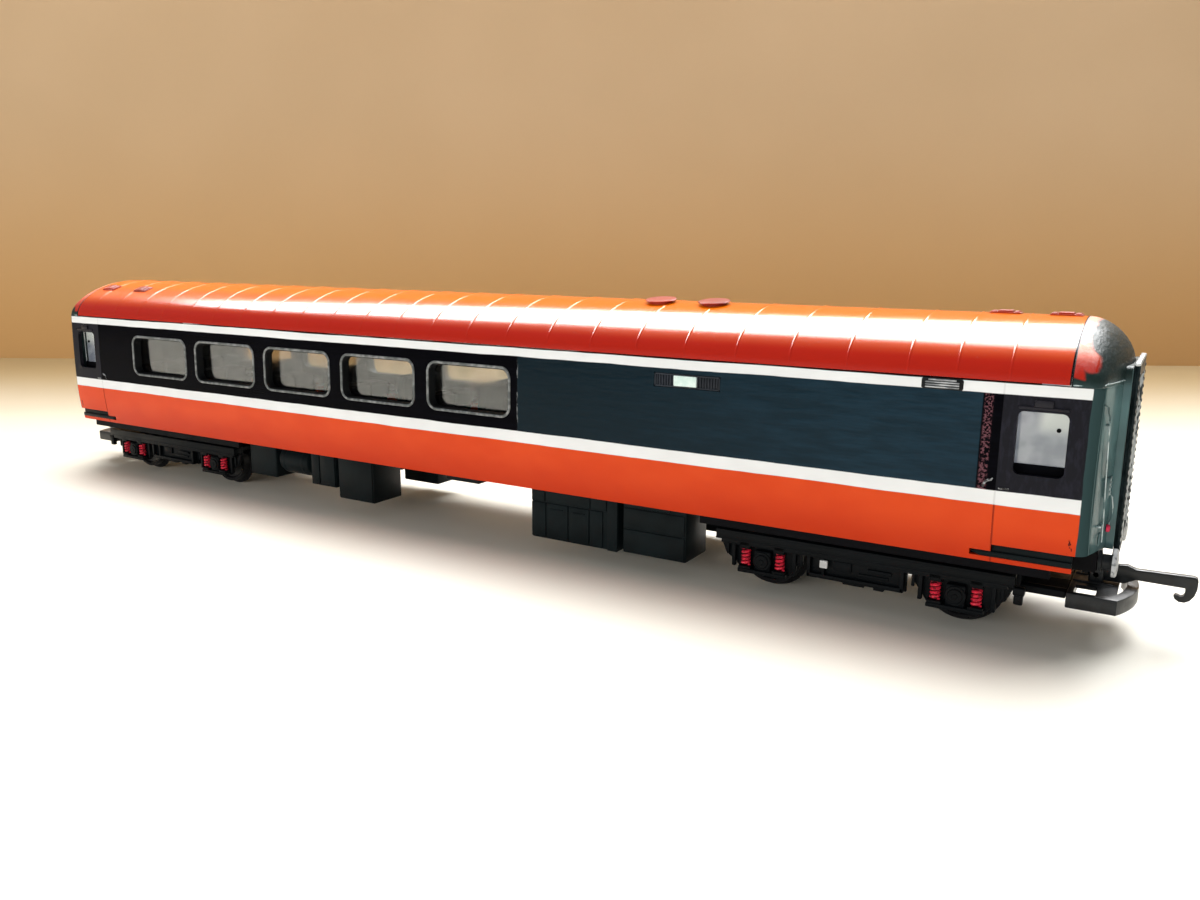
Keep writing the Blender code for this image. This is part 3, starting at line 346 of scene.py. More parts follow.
    rough = finish.blend(film, 0.2, finish.step(film_wave, 0.3, 0.7, 0.10, 0.24))
    rough = finish.blend(door, rough, finish.step(scuffs, 0.4, 0.7, 0.38, 0.6))
    rough = finish.blend(finish.either(skirt, end), rough, 0.24)
    bare_dome = finish.times(dome, finish.sum("SUBTRACT", 1.0, over))
    brushing = finish.mottle(0.6 * MM, (1, 4, 1), detail=4.0, seed=2.4)
    rough = finish.blend(bare_dome, rough, finish.step(brushing, 0.3, 0.7, 0.34, 0.52))
    finish.rough(rough)
    shine = finish.blend(film, 0.02, 0.09)
    shine = finish.blend(door, shine, 0.10)
    shine = finish.blend(skirt, shine, 0.14)
    shine = finish.blend(end, shine, finish.step(corner, 0.0, 0.6, 0.3, 0.0))
    shine = finish.blend(dome, shine, 0.5)
    shine = finish.blend(bare_dome, shine, 0.22)
    finish.feed(finish.shader.inputs["Specular IOR Level"], shine)
    finish.bump(strokes, 0.025 * MM, 0.35)
    banded = finish.either(skirt, finish.either(upper, lower))
    plain = finish.sum("SUBTRACT", 1.0, banded)
    rippled = finish.times(finish.times(film_wave, film), plain)
    finish.bump(rippled, 0.06 * MM, 1.0)
    marks = finish.mottle(0.45 * MM, (1, 1, 4), detail=4.0, seed=1.9)
    on_end = finish.either(end, dome)
    finish.bump(finish.times(marks, on_end), 0.05 * MM, 0.7)
    finish.bump(finish.times(brushing, bare_dome), 0.09 * MM, 0.9)
    finish.bump(finish.times(finish.times(scuffs, door), plain), 0.03 * MM, 0.4)
    return finish.material


def glass_finish():
    """Clear styrene with a faint haze and a few moulding marks."""
    finish = Finish("window_glass", 0.04, ior=1.68)
    haze = finish.mottle(7 * MM, detail=2.0, seed=4.2)
    finish.colour(finish.mix(finish.step(haze, 0.3, 0.7), (0.80, 0.84, 0.83), (0.93, 0.94, 0.94)))
    finish.rough(finish.step(haze, 0.3, 0.75, 0.02, 0.12))
    finish.bump(haze, 0.05 * MM, 0.2)
    finish.shader.inputs["Transmission Weight"].default_value = 1.0
    return finish.material


# Shapes


def in_mm(points):
    """Points that are written in millimetres, turned into metres."""
    return [tuple(value * MM for value in point) for point in points]


def box_mm(node):
    """The frame's box of a node, in millimetres."""
    return [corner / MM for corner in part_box(node)]


def span(middle, half):
    return middle - half, middle + half


def block(x, y, z, bevel=0.0, segments=2):
    """A box between limits in millimetres, given in either order on each axis."""
    low, high = in_mm(zip(*(sorted(limits) for limits in (x, y, z))))
    return box_shape(low, high, bevel * MM, segments)


def looped_shape(rings):
    """Faces between each ring of points and the next, and between the last and the first."""
    shape = bmesh.new()
    rows = [[shape.verts.new(point) for point in ring] for ring in rings]
    for near, far in zip(rows, rows[1:] + rows[:1]):
        for i in range(len(near)):
            j = (i + 1) % len(near)
            shape.faces.new((near[i], near[j], far[j], far[i]))
    return shape


def box_shape(low, high, bevel=0.0, segments=2):
    """A box between two corners, with all its edges rounded."""
    shape = bmesh.new()
    bmesh.ops.create_cube(shape, size=1.0)
    low, high = Vector(low), Vector(high)
    bmesh.ops.scale(shape, vec=high - low, verts=shape.verts)
    bmesh.ops.translate(shape, vec=(low + high) / 2, verts=shape.verts)
    if bevel:
        bmesh.ops.bevel(
            shape,
            geom=shape.edges[:],
            offset=min(bevel, *(side * 0.45 for side in high - low)),
            segments=segments,
            profile=0.5,
            affect="EDGES",
        )
    return shape


def turned_shape(profile, axis="Z", centre=(0, 0, 0), segments=32):
    """A profile of (radius, height) turned about an axis through centre, closed at both ends."""
    shape = bmesh.new()
    rings = []
    for radius, height in profile:
        if radius < 1e-6:
            rings.append([shape.verts.new((0, 0, height))] * segments)
            continue
        ring = []
        for i in range(segments):
            angle = 2 * math.pi * i / segments
            ring.append(
                shape.verts.new((radius * math.cos(angle), radius * math.sin(angle), height))
            )
        rings.append(ring)
    for lower, upper in zip(rings, rings[1:]):
        for i in range(segments):
            j = (i + 1) % segments
            corners = dict.fromkeys((lower[i], lower[j], upper[j], upper[i]))
            if len(corners) > 2:
                shape.faces.new(list(corners))
    for ring in (rings[0], rings[-1]):
        if len(set(ring)) > 2:
            shape.faces.new(ring)
    turn = {
        "X": Matrix.Rotation(math.pi / 2, 4, "Y"),
        "Y": Matrix.Rotation(-math.pi / 2, 4, "X"),
        "Z": Matrix.Identity(4),
    }[axis]
    bmesh.ops.transform(shape, matrix=Matrix.Translation(centre) @ turn, verts=shape.verts)
    return shape


def plate_shape(outline, axis, low, high, bevel=0.0):
    """An outline of points on the other two axes, given a thickness along axis."""
    shape = bmesh.new()
    index = "XYZ".index(axis)
    corners = []
    for u, v in outline:
        point = [u, v]
        point.insert(index, low)
        corners.append(shape.verts.new(point))
    face = shape.faces.new(corners)
    made = bmesh.ops.extrude_face_region(shape, geom=[face])
    moved = [item for item in made["geom"] if isinstance(item, bmesh.types.BMVert)]
    shift = [0, 0, 0]
    shift[index] = high - low
    bmesh.ops.translate(shape, vec=shift, verts=moved)
    if bevel:
        rims = [e for e in shape.edges if abs((e.verts[0].co - e.verts[1].co)[index]) < 1e-7]
        bmesh.ops.bevel(
            shape, geom=rims, offset=bevel, segments=2, profile=0.5, affect="EDGES"
        )
    return shape


def tube_shape(points, radius, sides=8, closed=False):
    """A round wire along points, with flat ends, its rings square to the path."""
    shape = bmesh.new()
    path = [Vector(p) for p in points]
    count = len(path)
    normal = None
    rings = []
    for i, point in enumerate(path):
        before = path[i - 1] if i or closed else point
        after = path[(i + 1) % count] if i < count - 1 or closed else point
        along = (after - before).normalized()
        if normal is None:
            normal = along.orthogonal().normalized()
        normal = (normal - along * normal.dot(along)).normalized()
        side = along.cross(normal)
        ring = []
        for k in range(sides):
            angle = 2 * math.pi * k / sides
            offset = (normal * math.cos(angle) + side * math.sin(angle)) * radius
            ring.append(shape.verts.new(point + offset))
        rings.append(ring)
    pairs = list(zip(rings, rings[1:]))
    if closed:
        pairs.append((rings[-1], rings[0]))
    for first, second in pairs:
        for k in range(sides):
            m = (k + 1) % sides
            shape.faces.new((first[k], first[m], second[m], second[k]))
    if not closed:
        shape.faces.new(rings[0])
        shape.faces.new(rings[-1])
    return shape


def coil_points(centre, radius, height, turns, steps=10):
    count = int(turns * steps)
    points = []
    for i in range(count + 1):
        angle = 2 * math.pi * i / steps
        rise = height * (i / count - 0.5)
        points.append(
            (
                centre[0] + radius * math.cos(angle),
                centre[1] + radius * math.sin(angle),
                centre[2] + rise,
            )
        )
    return points


def wire(points, radius, sides=8):
    """A tube along points in millimetres."""
    return tube_shape(in_mm(points), radius * MM, sides)


def moved(shape, matrix):
    bmesh.ops.transform(shape, matrix=matrix, verts=shape.verts)
    return shape


def mesh_of(shapes, name):
    """One mesh from one or several bmeshes, with faces turned outwards."""
    whole = bmesh.new()
    for shape in shapes if isinstance(shapes, (list, tuple)) else [shapes]:
        bmesh.ops.recalc_face_normals(shape, faces=shape.faces)
        part = bpy.data.meshes.new("part")
        shape.to_mesh(part)
        shape.free()
        whole.from_mesh(part)
        bpy.data.meshes.remove(part)
    mesh = bpy.data.meshes.new(name)
    whole.to_mesh(mesh)
    whole.free()
    return mesh


def piece(name, shapes, material, body="root", slot=None, replaces=(), sharp=32):
    """A visible piece that rides on a body and takes the finish it is given."""
    mesh = shapes if isinstance(shapes, bpy.types.Mesh) else mesh_of(shapes, name)
    mesh.materials.clear()
    mesh.materials.append(material)
    mesh.shade_smooth()
    mesh.set_sharp_from_angle(angle=math.radians(sharp))
    obj = bpy.data.objects.new(name, mesh)
    bpy.context.scene.collection.objects.link(obj)
    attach(obj, body)
    if replaces:
        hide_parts(*replaces)
    return obj


def cut_mesh(name, base, steps):
    """Applies Booleans to a base mesh. steps is a list of (operation, mesh)."""
    obj = bpy.data.objects.new(name, base)
    bpy.context.scene.collection.objects.link(obj)
    helpers = []
    for operation, mesh in steps:
        helper = bpy.data.objects.new("helper", mesh)
        bpy.context.scene.collection.objects.link(helper)
        helpers.append(helper)
        modifier = obj.modifiers.new("cut", "BOOLEAN")
        modifier.operation = operation
        modifier.object = helper
        modifier.solver = "EXACT"
    bpy.context.view_layer.update()
    graph = bpy.context.evaluated_depsgraph_get()
    result = bpy.data.meshes.new_from_object(obj.evaluated_get(graph))
    for helper in [obj, *helpers]:
        bpy.data.objects.remove(helper, do_unlink=True)
    return result


# The body shell and roof


def side_half_width(height):
    if height < WAIST:
        share = (WAIST - height) / (WAIST - BODY_BOTTOM)
        return HALF_WIDTH - 1.15 * MM * share**2.2
    share = (height - WAIST) / (GUTTER - WAIST)
    return HALF_WIDTH - (HALF_WIDTH - GUTTER_HALF_WIDTH) * share**2


def roof_point(angle, inset=0.0):
    power = 2 / ROOF_POWER
    return (
        (GUTTER_HALF_WIDTH - inset) * max(math.cos(angle), 0) ** power,
        GUTTER + (ROOF_RISE - inset) * max(math.sin(angle), 0) ** power,
    )


def roof_height(y):
    share = 1 - (abs(y) / GUTTER_HALF_WIDTH) ** ROOF_POWER
    return GUTTER + ROOF_RISE * share ** (1 / ROOF_POWER)


def mirrored(half):
    return [(-y, z) for y, z in half] + [(y, z) for y, z in reversed(half[:-1])]


def body_section(inset, bottom, side_steps, roof_steps):
    half = []
    for i in range(side_steps):
        z = bottom + (GUTTER - bottom) * i / side_steps
        half.append((side_half_width(z) - inset, z))
    half += [roof_point(math.pi / 2 * i / roof_steps, inset) for i in range(roof_steps)]
    return mirrored(half + [(0.0, GUTTER + ROOF_RISE - inset)])


def end_bow(y):
    return BODY_END - END_BOW * y * y


def end_ring(section, turn, inset):
    power = 2 / 1.78
    across = math.sin(turn * math.pi / 2) ** power
    inward = 1 - max(math.cos(turn * math.pi / 2), 0) ** power
    ring = []
    for y, z in section:
        rise = max(z - GUTTER, 0) / (ROOF_RISE - inset)
        start = CORNER_START + (DOME_START - CORNER_START) * rise
        if rise > 0:
            end_y, end_z = y * 0.898, GUTTER + rise * DOME_EDGE_RISE
        else:
            end_y, end_z = y - math.copysign(CORNER_WIDTH, y), z
        ring.append(
            (
                start + (end_bow(end_y) - inset - start) * across,
                y + (end_y - y) * inward,
                z + (end_z - z) * inward,
            )
        )
    return ring


def body_form(inset, bottom, side_steps, roof_steps, turns, columns):
    """The outer form of the body, or its inside at an inset, as one closed mesh."""
    shape = bmesh.new()
    section = body_section(inset, bottom, side_steps, roof_steps)
    shares = [i / turns for i in range(turns + 1)]
    rings = [[(-x, y, z) for x, y, z in end_ring(section, s, inset)] for s in reversed(shares)]
    first, last = rings[-1], end_ring(section, 0, inset)
    for i in range(1, columns):
        mix = i / columns
        rings.append([tuple(a + (b - a) * mix for a, b in zip(p, q)) for p, q in zip(first, last)])
    rings += [end_ring(section, s, inset) for s in shares]
    rows = [[shape.verts.new(point) for point in ring] for ring in rings]
    for near, far in zip(rows, rows[1:]):
        for i in range(len(near) - 1):
            shape.faces.new((near[i], near[i + 1], far[i + 1], far[i]))
    across = 12
    for row, sign in ((rows[0], -1), (rows[-1], 1)):
        panel = []
        for left, right in zip(row[: len(row) // 2], reversed(row)):
            line = [left]
            for i in range(1, across):
                y = left.co.y + (right.co.y - left.co.y) * i / across
                line.append(shape.verts.new((sign * (end_bow(y) - inset), y, left.co.z)))
            panel.append([*line, right])
        for lower, upper in zip(panel, panel[1:]):
            for i in range(across):
                shape.faces.new((lower[i], lower[i + 1], upper[i + 1], upper[i]))
        crown = row[len(row) // 2]
        for i in range(across):
            shape.faces.new((panel[-1][i], panel[-1][i + 1], crown))
    bmesh.ops.holes_fill(shape, edges=shape.edges)
    return mesh_of(shape, "body_form")


def rounded_rectangle(width, height, radius, steps=6):
    """Points round a rectangle with round corners, anticlockwise from the right side."""
    points = []
    for corner in range(4):
        sx, sz = ((1, 1), (-1, 1), (-1, -1), (1, -1))[corner]
        for i in range(steps + 1):
            angle = math.pi / 2 * (corner + i / steps)
            points.append(
                (
                    sx * (width / 2 - radius) + radius * math.cos(angle),
                    sz * (height / 2 - radius) + radius * math.sin(angle),
                )
            )
    return points


def opening_shape(x, z, width, height, radius, sign):
    ys = sorted((sign * 14 * MM, sign * 21 * MM))
    outline = [(x + u, z + v) for u, v in rounded_rectangle(width, height, radius)]
    return plate_shape(outline, "Y", *ys)


def build_body():
    far = 140 * MM
    outer = body_form(0.0, BODY_BOTTOM, 26, 22, 12, 36)
    inner = body_form(WALL, BODY_BOTTOM - MM, 8, 10, 6, 1)
    steps = [("DIFFERENCE", inner)]
    roof_gap = box_shape((DOME_LEFT, -far, GUTTER - 0.2 * MM), (DOME_RIGHT, far, far))
    steps.append(("DIFFERENCE", mesh_of(roof_gap, "cut")))
    for sign in ENDS.values():
        xs = sorted((sign * STEP_HIGH.x, sign * far))
        low = box_shape((xs[0], -far, 0), (xs[1], far, STEP_LOW.z + MM))
        steps.append(("DIFFERENCE", mesh_of(low, "cut")))
        for start, high in ((STEP_LOW.x - 0.1 * MM, STEP_TOP), (KICK_FROM, DOOR_BOTTOM)):
            xs = sorted((sign * start, sign * (far - MM)))
            step = box_shape((xs[0], MM - far, STEP_LOW.z - 0.05 * MM), (xs[1], far - MM, high))
            steps.append(("DIFFERENCE", mesh_of(step, "cut")))
        xs = sorted((sign * 130.35 * MM, sign * 131.85 * MM))
        outline = rounded_rectangle(18 * MM, 29.0 * MM, 1.2 * MM, 4)
        outline = [(y, z + 30.8 * MM) for y, z in outline]
        steps.append(("UNION", mesh_of(plate_shape(outline, "X", *xs), "plinth")))
    openings = []
    for sign in SIDES.values():
        for x in WINDOW_X:
            openings.append(opening_shape(x, WINDOW_Z, *WINDOW_SIZE, sign))
        for end in ENDS.values():
            x = end * DOOR_WINDOW_X
            openings.append(opening_shape(x, DOOR_WINDOW_Z, *DOOR_WINDOW_SIZE, sign))
            openings += door_grooves(end, sign)
    gap = 0.08 * MM
    openings.append(
        box_shape(
            (GRILLE_LOW.x - gap, -21 * MM, GRILLE_LOW.z - gap),
            (GRILLE_HIGH.x + gap, -14 * MM, GRILLE_HIGH.z + gap),
        )
    )
    steps.append(("DIFFERENCE", mesh_of(openings, "openings")))
    mesh = cut_mesh("body", outer, steps)
    piece("coach_body", mesh, body_finish(), slot="body_paint", replaces=["body_shell"], sharp=28)


def door_grooves(end, sign):
    """The line beside a door, as a groove that follows the bodyside."""
    depth, width = 0.07 * MM, 0.2 * MM
    heights = [DOOR_BOTTOM + 0.3 * MM + (UPPER_STRIPE[0] - DOOR_BOTTOM) * i / 8 for i in range(9)]
    outline = [(sign * (side_half_width(z) - depth), z) for z in heights]
    outline += [(sign * (HALF_WIDTH + MM), z) for z in (heights[-1], heights[0])]
    x = end * DOOR_LINE
    return [plate_shape(outline, "X", x - width / 2, x + width / 2)]


def build_roof():
    """The clip-on roof: the curved skin, its low transverse ribs, and a rim along the gutter."""
    arc_steps = 44
    arcs = []
    for inset in (0.0, WALL):
        half = [roof_point(math.pi / 2 * i / arc_steps, inset) for i in range(arc_steps)]
        arcs.append(mirrored(half + [(0.0, GUTTER + ROOF_RISE - inset)]))
    lift = 0.05 * MM
    rib_profile = [(0.0, 1.0)]
    for offset, share in ((0.09, 0.75), (0.17, 0.0), (0.3, 0.0)):
        rib_profile += [(-offset, share), (offset, share)]
    stations = {-ROOF_END: 0.0, ROOF_END: 0.0}
    for x in RIBS:
        for offset, share in rib_profile:
            stations[x + offset * MM] = share * 0.07 * MM
    shape = bmesh.new()
    rows = []
    for x in sorted(stations):
        proud = stations[x]
        row = []
        for y, z in arcs[0]:
            rise = (z - GUTTER) / ROOF_RISE
            grow = proud * min(rise * 6, 1.0)
            length = math.hypot(y, (z - GUTTER) * 1.6) or 1.0
            row.append(
                shape.verts.new(
                    (x, y + grow * y / length, z + lift + grow * (z - GUTTER) * 1.6 / length)
                )
            )
        row += [shape.verts.new((x, y, z + lift)) for y, z in reversed(arcs[1])]
        rows.append(row)
    for near, far in zip(rows, rows[1:]):
        for i in range(len(near)):
            j = (i + 1) % len(near)
            shape.faces.new((near[i], near[j], far[j], far[i]))
    count = len(arcs[0])
    for row in (rows[0], rows[-1]):
        for i in range(count - 1):
            k = 2 * count - 1 - i
            shape.faces.new((row[i], row[i + 1], row[k - 1], row[k]))
    finish = gloss_paint("roof_enamel", ROOF_ORANGE, tinted(ROOF_ORANGE, 0.9), 0.17)
    reach = finish.sum("ABSOLUTE", finish.axis("X"))
    joint = finish.step(reach, ROOF_END - 0.2 * MM, ROOF_END - 0.1 * MM)
    painted = finish.shader.inputs["Base Color"].links[0].from_socket
    # Painted shade: the roof's colour darkens from the crown down towards the gutter, where the
    # curve catches less light.
    shoulder_shade = finish.step(finish.axis("Z"), 45.5 * MM, 49.5 * MM, 1.0, 0.0)
    finish.colour(finish.mix(joint, finish.mix(shoulder_shade, painted, ROOF_SHADED), BLACK))
    crown = finish.step(finish.axis("Z"), 49.8 * MM, 51.2 * MM)
    tint = finish.mix(crown, (1.0, 1.0, 1.0), (1.0, 0.74, 0.34))
    finish.feed(finish.shader.inputs["Specular Tint"], tint)
    shine = finish.blend(crown, 0.5, 0.2)
    finish.feed(finish.shader.inputs["Specular IOR Level"], shine)
    warm = finish.shader.inputs["Base Color"].links[0].from_socket
    # Painted light: the crown's colour is made brighter and yellower, standing for the light it
    # catches and the warm wall it reflects.
    finish.colour(finish.mix(finish.times(crown, 0.8), warm, (0.86, 0.19, 0.0)))
    ridge = finish.mottle(0.5 * MM, (40, 1, 1), detail=3.0, seed=1.1)
    finish.bump(ridge, 0.03 * MM, 0.3)
    piece("roof_skin", shape, finish.material, slot="roof_paint", replaces=["roof"], sharp=40)
    dull_orange, brown = (0.42, 0.035, 0.008), (0.22, 0.012, 0.003)
    vents = gloss_paint("vent_enamel", dull_orange, brown, 0.3, (1, 1, 1), 0.3)
    for name in ("round_vent_inner", "round_vent_outer"):
        build_round_vent(name, vents.material)
    for end in ENDS:
        for place in PLACES:
            build_shell_vent(f"shell_vent_{end}_{place}", vents.material)


def on_roof(shape, x, y):
    step = 0.1 * MM
    slope = (roof_height(y + step) - roof_height(y - step)) / (2 * step)
    place = Matrix.Translation((x, y, roof_height(y))) @ Matrix.Rotation(math.atan(slope), 4, "X")
    return moved(shape, place)


def vent_place(name):
    low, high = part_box(name)
    return (low.x + high.x) / 2, (low.y + high.y) / 2


def build_round_vent(name, material):
    x, y = vent_place(name)
    profile = [(2.4, 0.0), (2.4, 0.4), (2.9, 0.42), (3.05, 0.5), (3.08, 0.6), (2.98, 0.7)]
    profile += [(2.5, 0.76), (1.2, 0.78), (0, 0.78)]
    disc = turned_shape(in_mm(profile), segments=56)
    piece(name + "_disc", on_roof(disc, x, y), material, slot="roof_paint", replaces=[name])


def build_shell_vent(name, material):
    x, y = vent_place(name)
    shapes = [block((-2.45, 2.45), (-1.4, 1.4), (0, 0.24), 0.06)]
    for start, end, top in ((-2.25, -1.3, 0.44), (-1.2, 1.2, 0.56), (1.3, 2.25, 0.44)):
        shapes.append(block((start, end), (-1.2, 1.2), (0, top), 0.16, 3))
    shapes = [on_roof(shape, x, y) for shape in shapes]
    piece(name + "_cowl", shapes, material, slot="roof_paint", replaces=[name])


# Windows and side details


def ring_on_side(x, z, width, height, radius, sign, profile):
    """A moulding swept round a window. profile is (outward from the edge, proud of the side)."""
    rings = []
    for out, proud in in_mm(profile):
        corner = max(radius + out, 0.2 * MM)
        outline = rounded_rectangle(width + 2 * out, height + 2 * out, corner, 8)
        rings.append([(x + u, sign * (side_half_width(z + v) + proud), z + v) for u, v in outline])
    return looped_shape(rings)


def build_windows():
    """Silver-painted frames that stand a little proud, with dark reveals behind them."""
    dark, light = (0.10, 0.11, 0.11), (0.30, 0.31, 0.31)
    silver, wear_and_glint = patchy(
        "frame_silver", 0.42, 1.3, 6.6, (0.4, 0.68), dark, light, (0.05, 0.7),
        detail=5.0, metallic=0.35,
    )
    silver.rough(silver.step(wear_and_glint, 0.35, 0.7, 0.34, 0.6))
    reveal = moulded("reveal_black", (0.008, 0.009, 0.010), 0.5)
    frame_profile = (
        (-0.1, -0.25), (-0.08, 0.05), (0.02, 0.16), (0.2, 0.2), (0.42, 0.16), (0.55, -0.1),
    )
    lining = (-0.14, 0.02), (-0.24, -0.1), (-0.24, -2.0), (-0.02, -2.0), (-0.02, 0.02)
    glass = glass_finish()
    for side, sign in SIDES.items():
        for number, x in enumerate(WINDOW_X, 1):
            shape = ring_on_side(x, WINDOW_Z, *WINDOW_SIZE, sign, frame_profile)
            name = f"window_frame_{side}_{number}"
            piece(name, shape, silver.material, slot="window_frame", sharp=50)
            shape = ring_on_side(x, WINDOW_Z, *WINDOW_SIZE, sign, lining)
            piece(f"window_reveal_{side}_{number}", shape, reveal.material, slot="trim_plastic")
        dress(f"glazing_{side}", glass)


# Routes on the bodyside beside a door: (along, proud of the side, up) in mm
GRAB_RAIL = (
    (113.4, -0.2, 26.2), (113.45, -0.02, 26.5), (113.7, 0.0, 27.1),
    (114.1, 0.0, 27.4), (114.5, -0.02, 27.45), (114.8, -0.2, 27.8),
)
DOOR_HANDLE = (115.7, -0.2, 26.3), (115.8, 0.0, 26.3), (117.0, 0.03, 26.3), (117.2, -0.1, 26.3)


def build_door_fittings():
    """Hood over each door window, grab rail and door handle."""
    trim = moulded("door_trim", (0.016, 0.015, 0.020), 0.38)
    dark, light = (0.02, 0.02, 0.02), (0.34, 0.35, 0.36)
    chipped, _ = patchy("chipped_trim", 0.5, 0.5, 3.3, (0.42, 0.6), dark, light, (0.03, 0.6))
    for end, forward in ENDS.items():
        for side, sign in SIDES.items():
            z = DOOR_WINDOW_Z / MM + 5.3
            x, y = forward * DOOR_WINDOW_X / MM, sign * side_half_width(z * MM) / MM
            hood = block(span(x, 3.5), (y, y + sign * 0.34), (z, z + 0.4), 0.1)
            box = block(span(x, 1.3), (y, y + sign * 0.35), (z + 0.4, z + 1.45), 0.12)
            piece(f"door_hood_{end}_{side}", [hood, box], trim.material, slot="trim_plastic")
            fittings = []
            for route, radius in ((GRAB_RAIL, 0.2), (DOOR_HANDLE, 0.16)):
                points = []
                for along, proud, height in route:
                    outward = side_half_width(height * MM) / MM + proud
                    points.append((forward * along, sign * outward, height))
                fittings.append(wire(points, radius))
            piece(f"grab_rail_{end}_{side}", fittings, chipped.material, slot="trim_plastic")


def build_grille():
    """Slatted grille with a pale panel in it."""
    grille = moulded("grille_black", (0.022, 0.026, 0.034), 0.4)
    low, high = GRILLE_LOW / MM, GRILLE_HIGH / MM
    across, deep, tall = zip(low, high)
    rim, slats = 0.28, 24
    shapes = [
        block(across, deep, (low.z, low.z + rim), 0.05),
        block(across, deep, (high.z - rim, high.z), 0.05),
        block((low.x, low.x + rim), deep, tall, 0.05),
        block((high.x - rim, high.x), deep, tall, 0.05),
        block(across, (low.y + 0.35, high.y), tall, 0.05),
    ]
    for i in range(1, slats):
        x = low.x + (high.x - low.x) * i / slats
        if not LAMP_LOW.x - 0.1 * MM < x * MM < LAMP_HIGH.x + 0.1 * MM:
            shapes.append(block(span(x, 0.1), (low.y + 0.06, high.y), tall, 0.03))
    piece("grille_slats", shapes, grille.material, slot="trim_plastic", replaces=["kitchen_grille"])
    dark, light = (0.60, 0.76, 0.71), (0.78, 0.88, 0.84)
    mint, _ = patchy("indicator_mint", 0.35, 1.1, 4.9, (0.35, 0.7), dark, light, (0.06, 0.6))
    panel = box_shape(LAMP_LOW, LAMP_HIGH, 0.15 * MM, 3)
    piece("lamp_panel", panel, mint.material, slot="indicator_paint", replaces=["indicator_panel"])


def build_louvres():
    """The small louvre in the upper line of each side."""
    middle, slats = 106.1, 4
    vent, _ = patchy(
        "louvre_grey", 0.4, 0.8, 1.5, (0.4, 0.62), (0.16, 0.17, 0.18), (0.50, 0.51, 0.52),
        (0.04, 0.6), (3, 1, 1), metallic=0.2,
    )
    dark = moulded("louvre_back", (0.008, 0.009, 0.010), 0.5)
    for side, sign in SIDES.items():
        shapes = []
        for k in range(slats):
            z = 41.15 + 0.38 * k
            y = sign * side_half_width(z * MM) / MM
            half = 2.15 if k == slats - 1 else 2.6
            shapes.append(block(span(middle, half), (y, y + sign * 0.3), (z, z + 0.25), 0.1))
        piece(f"louvre_slats_{side}", shapes, vent.material, slot="trim_plastic")
        y = sign * side_half_width(41.5 * MM) / MM
        outline = [(middle + u, 41.8 + v) for u, v in rounded_rectangle(6.4, 1.75, 0.35, 4)]
        ys = sorted(((y - sign * 0.3) * MM, (y + sign * 0.05) * MM))
        back = plate_shape(in_mm(outline), "Y", *ys, 0.02 * MM)
        piece(f"louvre_back_{side}", back, dark.material, slot="trim_plastic")


def build_steps(black):
    """A step with a pointed inner end, and the kick board above it."""
    for end, forward in ENDS.items():
        for side, sign in SIDES.items():
            node = f"step_board_{end}_{side}"
            low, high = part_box(node)
            start, stop = sorted((abs(low.x), abs(high.x)))
            top = STEP_TOP - 0.05 * MM
            middle = (low.z + top) / 2 + 0.15 * MM
            outline = [(start, middle), (start + 1.4 * MM, low.z), (stop, low.z), (stop, top)]
            outline.append((start + 0.9 * MM, top))
            outline = [(forward * x, z) for x, z in outline]
            board = plate_shape(outline, "Y", low.y, high.y, 0.12 * MM)
            xs = forward * (KICK_FROM / MM + 0.1), forward * stop / MM
            kick = block(xs, (sign * 16.75, sign * 17.2), (top / MM - 0.3, high.z / MM), 0.1)
            piece(node + "_tread", [board, kick], black, slot="underframe_plastic", replaces=[node])


# The interior, underframe and its equipment


def build_interior():
    """Seats with rounded backs and cushions on the moulded floor, tables and partitions."""
    plastic = moulded("interior_dark", (0.010, 0.011, 0.012), 0.5, grain=0.8 * MM)
    seats = moulded("seat_moulding", (0.016, 0.018, 0.020), 0.45)
    low, high = box_mm("seat_unit")
    base = low.z + 0.75
    shapes = [block((low.x, high.x), (low.y, high.y), (low.z, base), 0.15)]
    for x in (-104, 27):
        shapes.append(block(span(x, 0.5), (-15.6, 15.6), (base, 40), 0.15))
    floor = plastic.material
    piece("interior_floor", shapes, floor, slot="interior_plastic", replaces=["seat_unit"])
    for bay, window in enumerate(WINDOW_X, 1):
        x = window / MM
        shapes = []
        for sign in SIDES.values():
            for facing in (-1, 1):
                for across in (6.3, 12.6):
                    shapes += seat(x + facing * 11.4, sign * across, -facing, base)
            y, under, top = sign * 9.4, 25.6, 26.2
            shapes.append(block(span(x, 0.5), span(y, 1), (base, under)))
            shapes.append(block(span(x, 2.5), span(y, 6), (under, top), 0.2))
        piece(f"seats_and_table_{bay}", shapes, seats.material, slot="interior_plastic")


def seat(x, y, facing, base):
    """One seat at x, y in mm: its back, headrest, cushion and foot."""

    def part(near, far, half, low, high, bevel, segments=3):
        xs = x + facing * near, x + facing * far
        return block(xs, span(y, half), (low, high), bevel, segments)

    return [
        part(-0.8, 0.8, 2.9, base, 31, 0.7),
        part(0.5, 1.2, 2.9, 27.6, 30.6, 0.3),
        part(0.6, 6.0, 2.9, 20.4, 22.5, 0.7),
        part(0.6, 5.2, 2.32, base, 20.8, 0.2, 2),
    ]


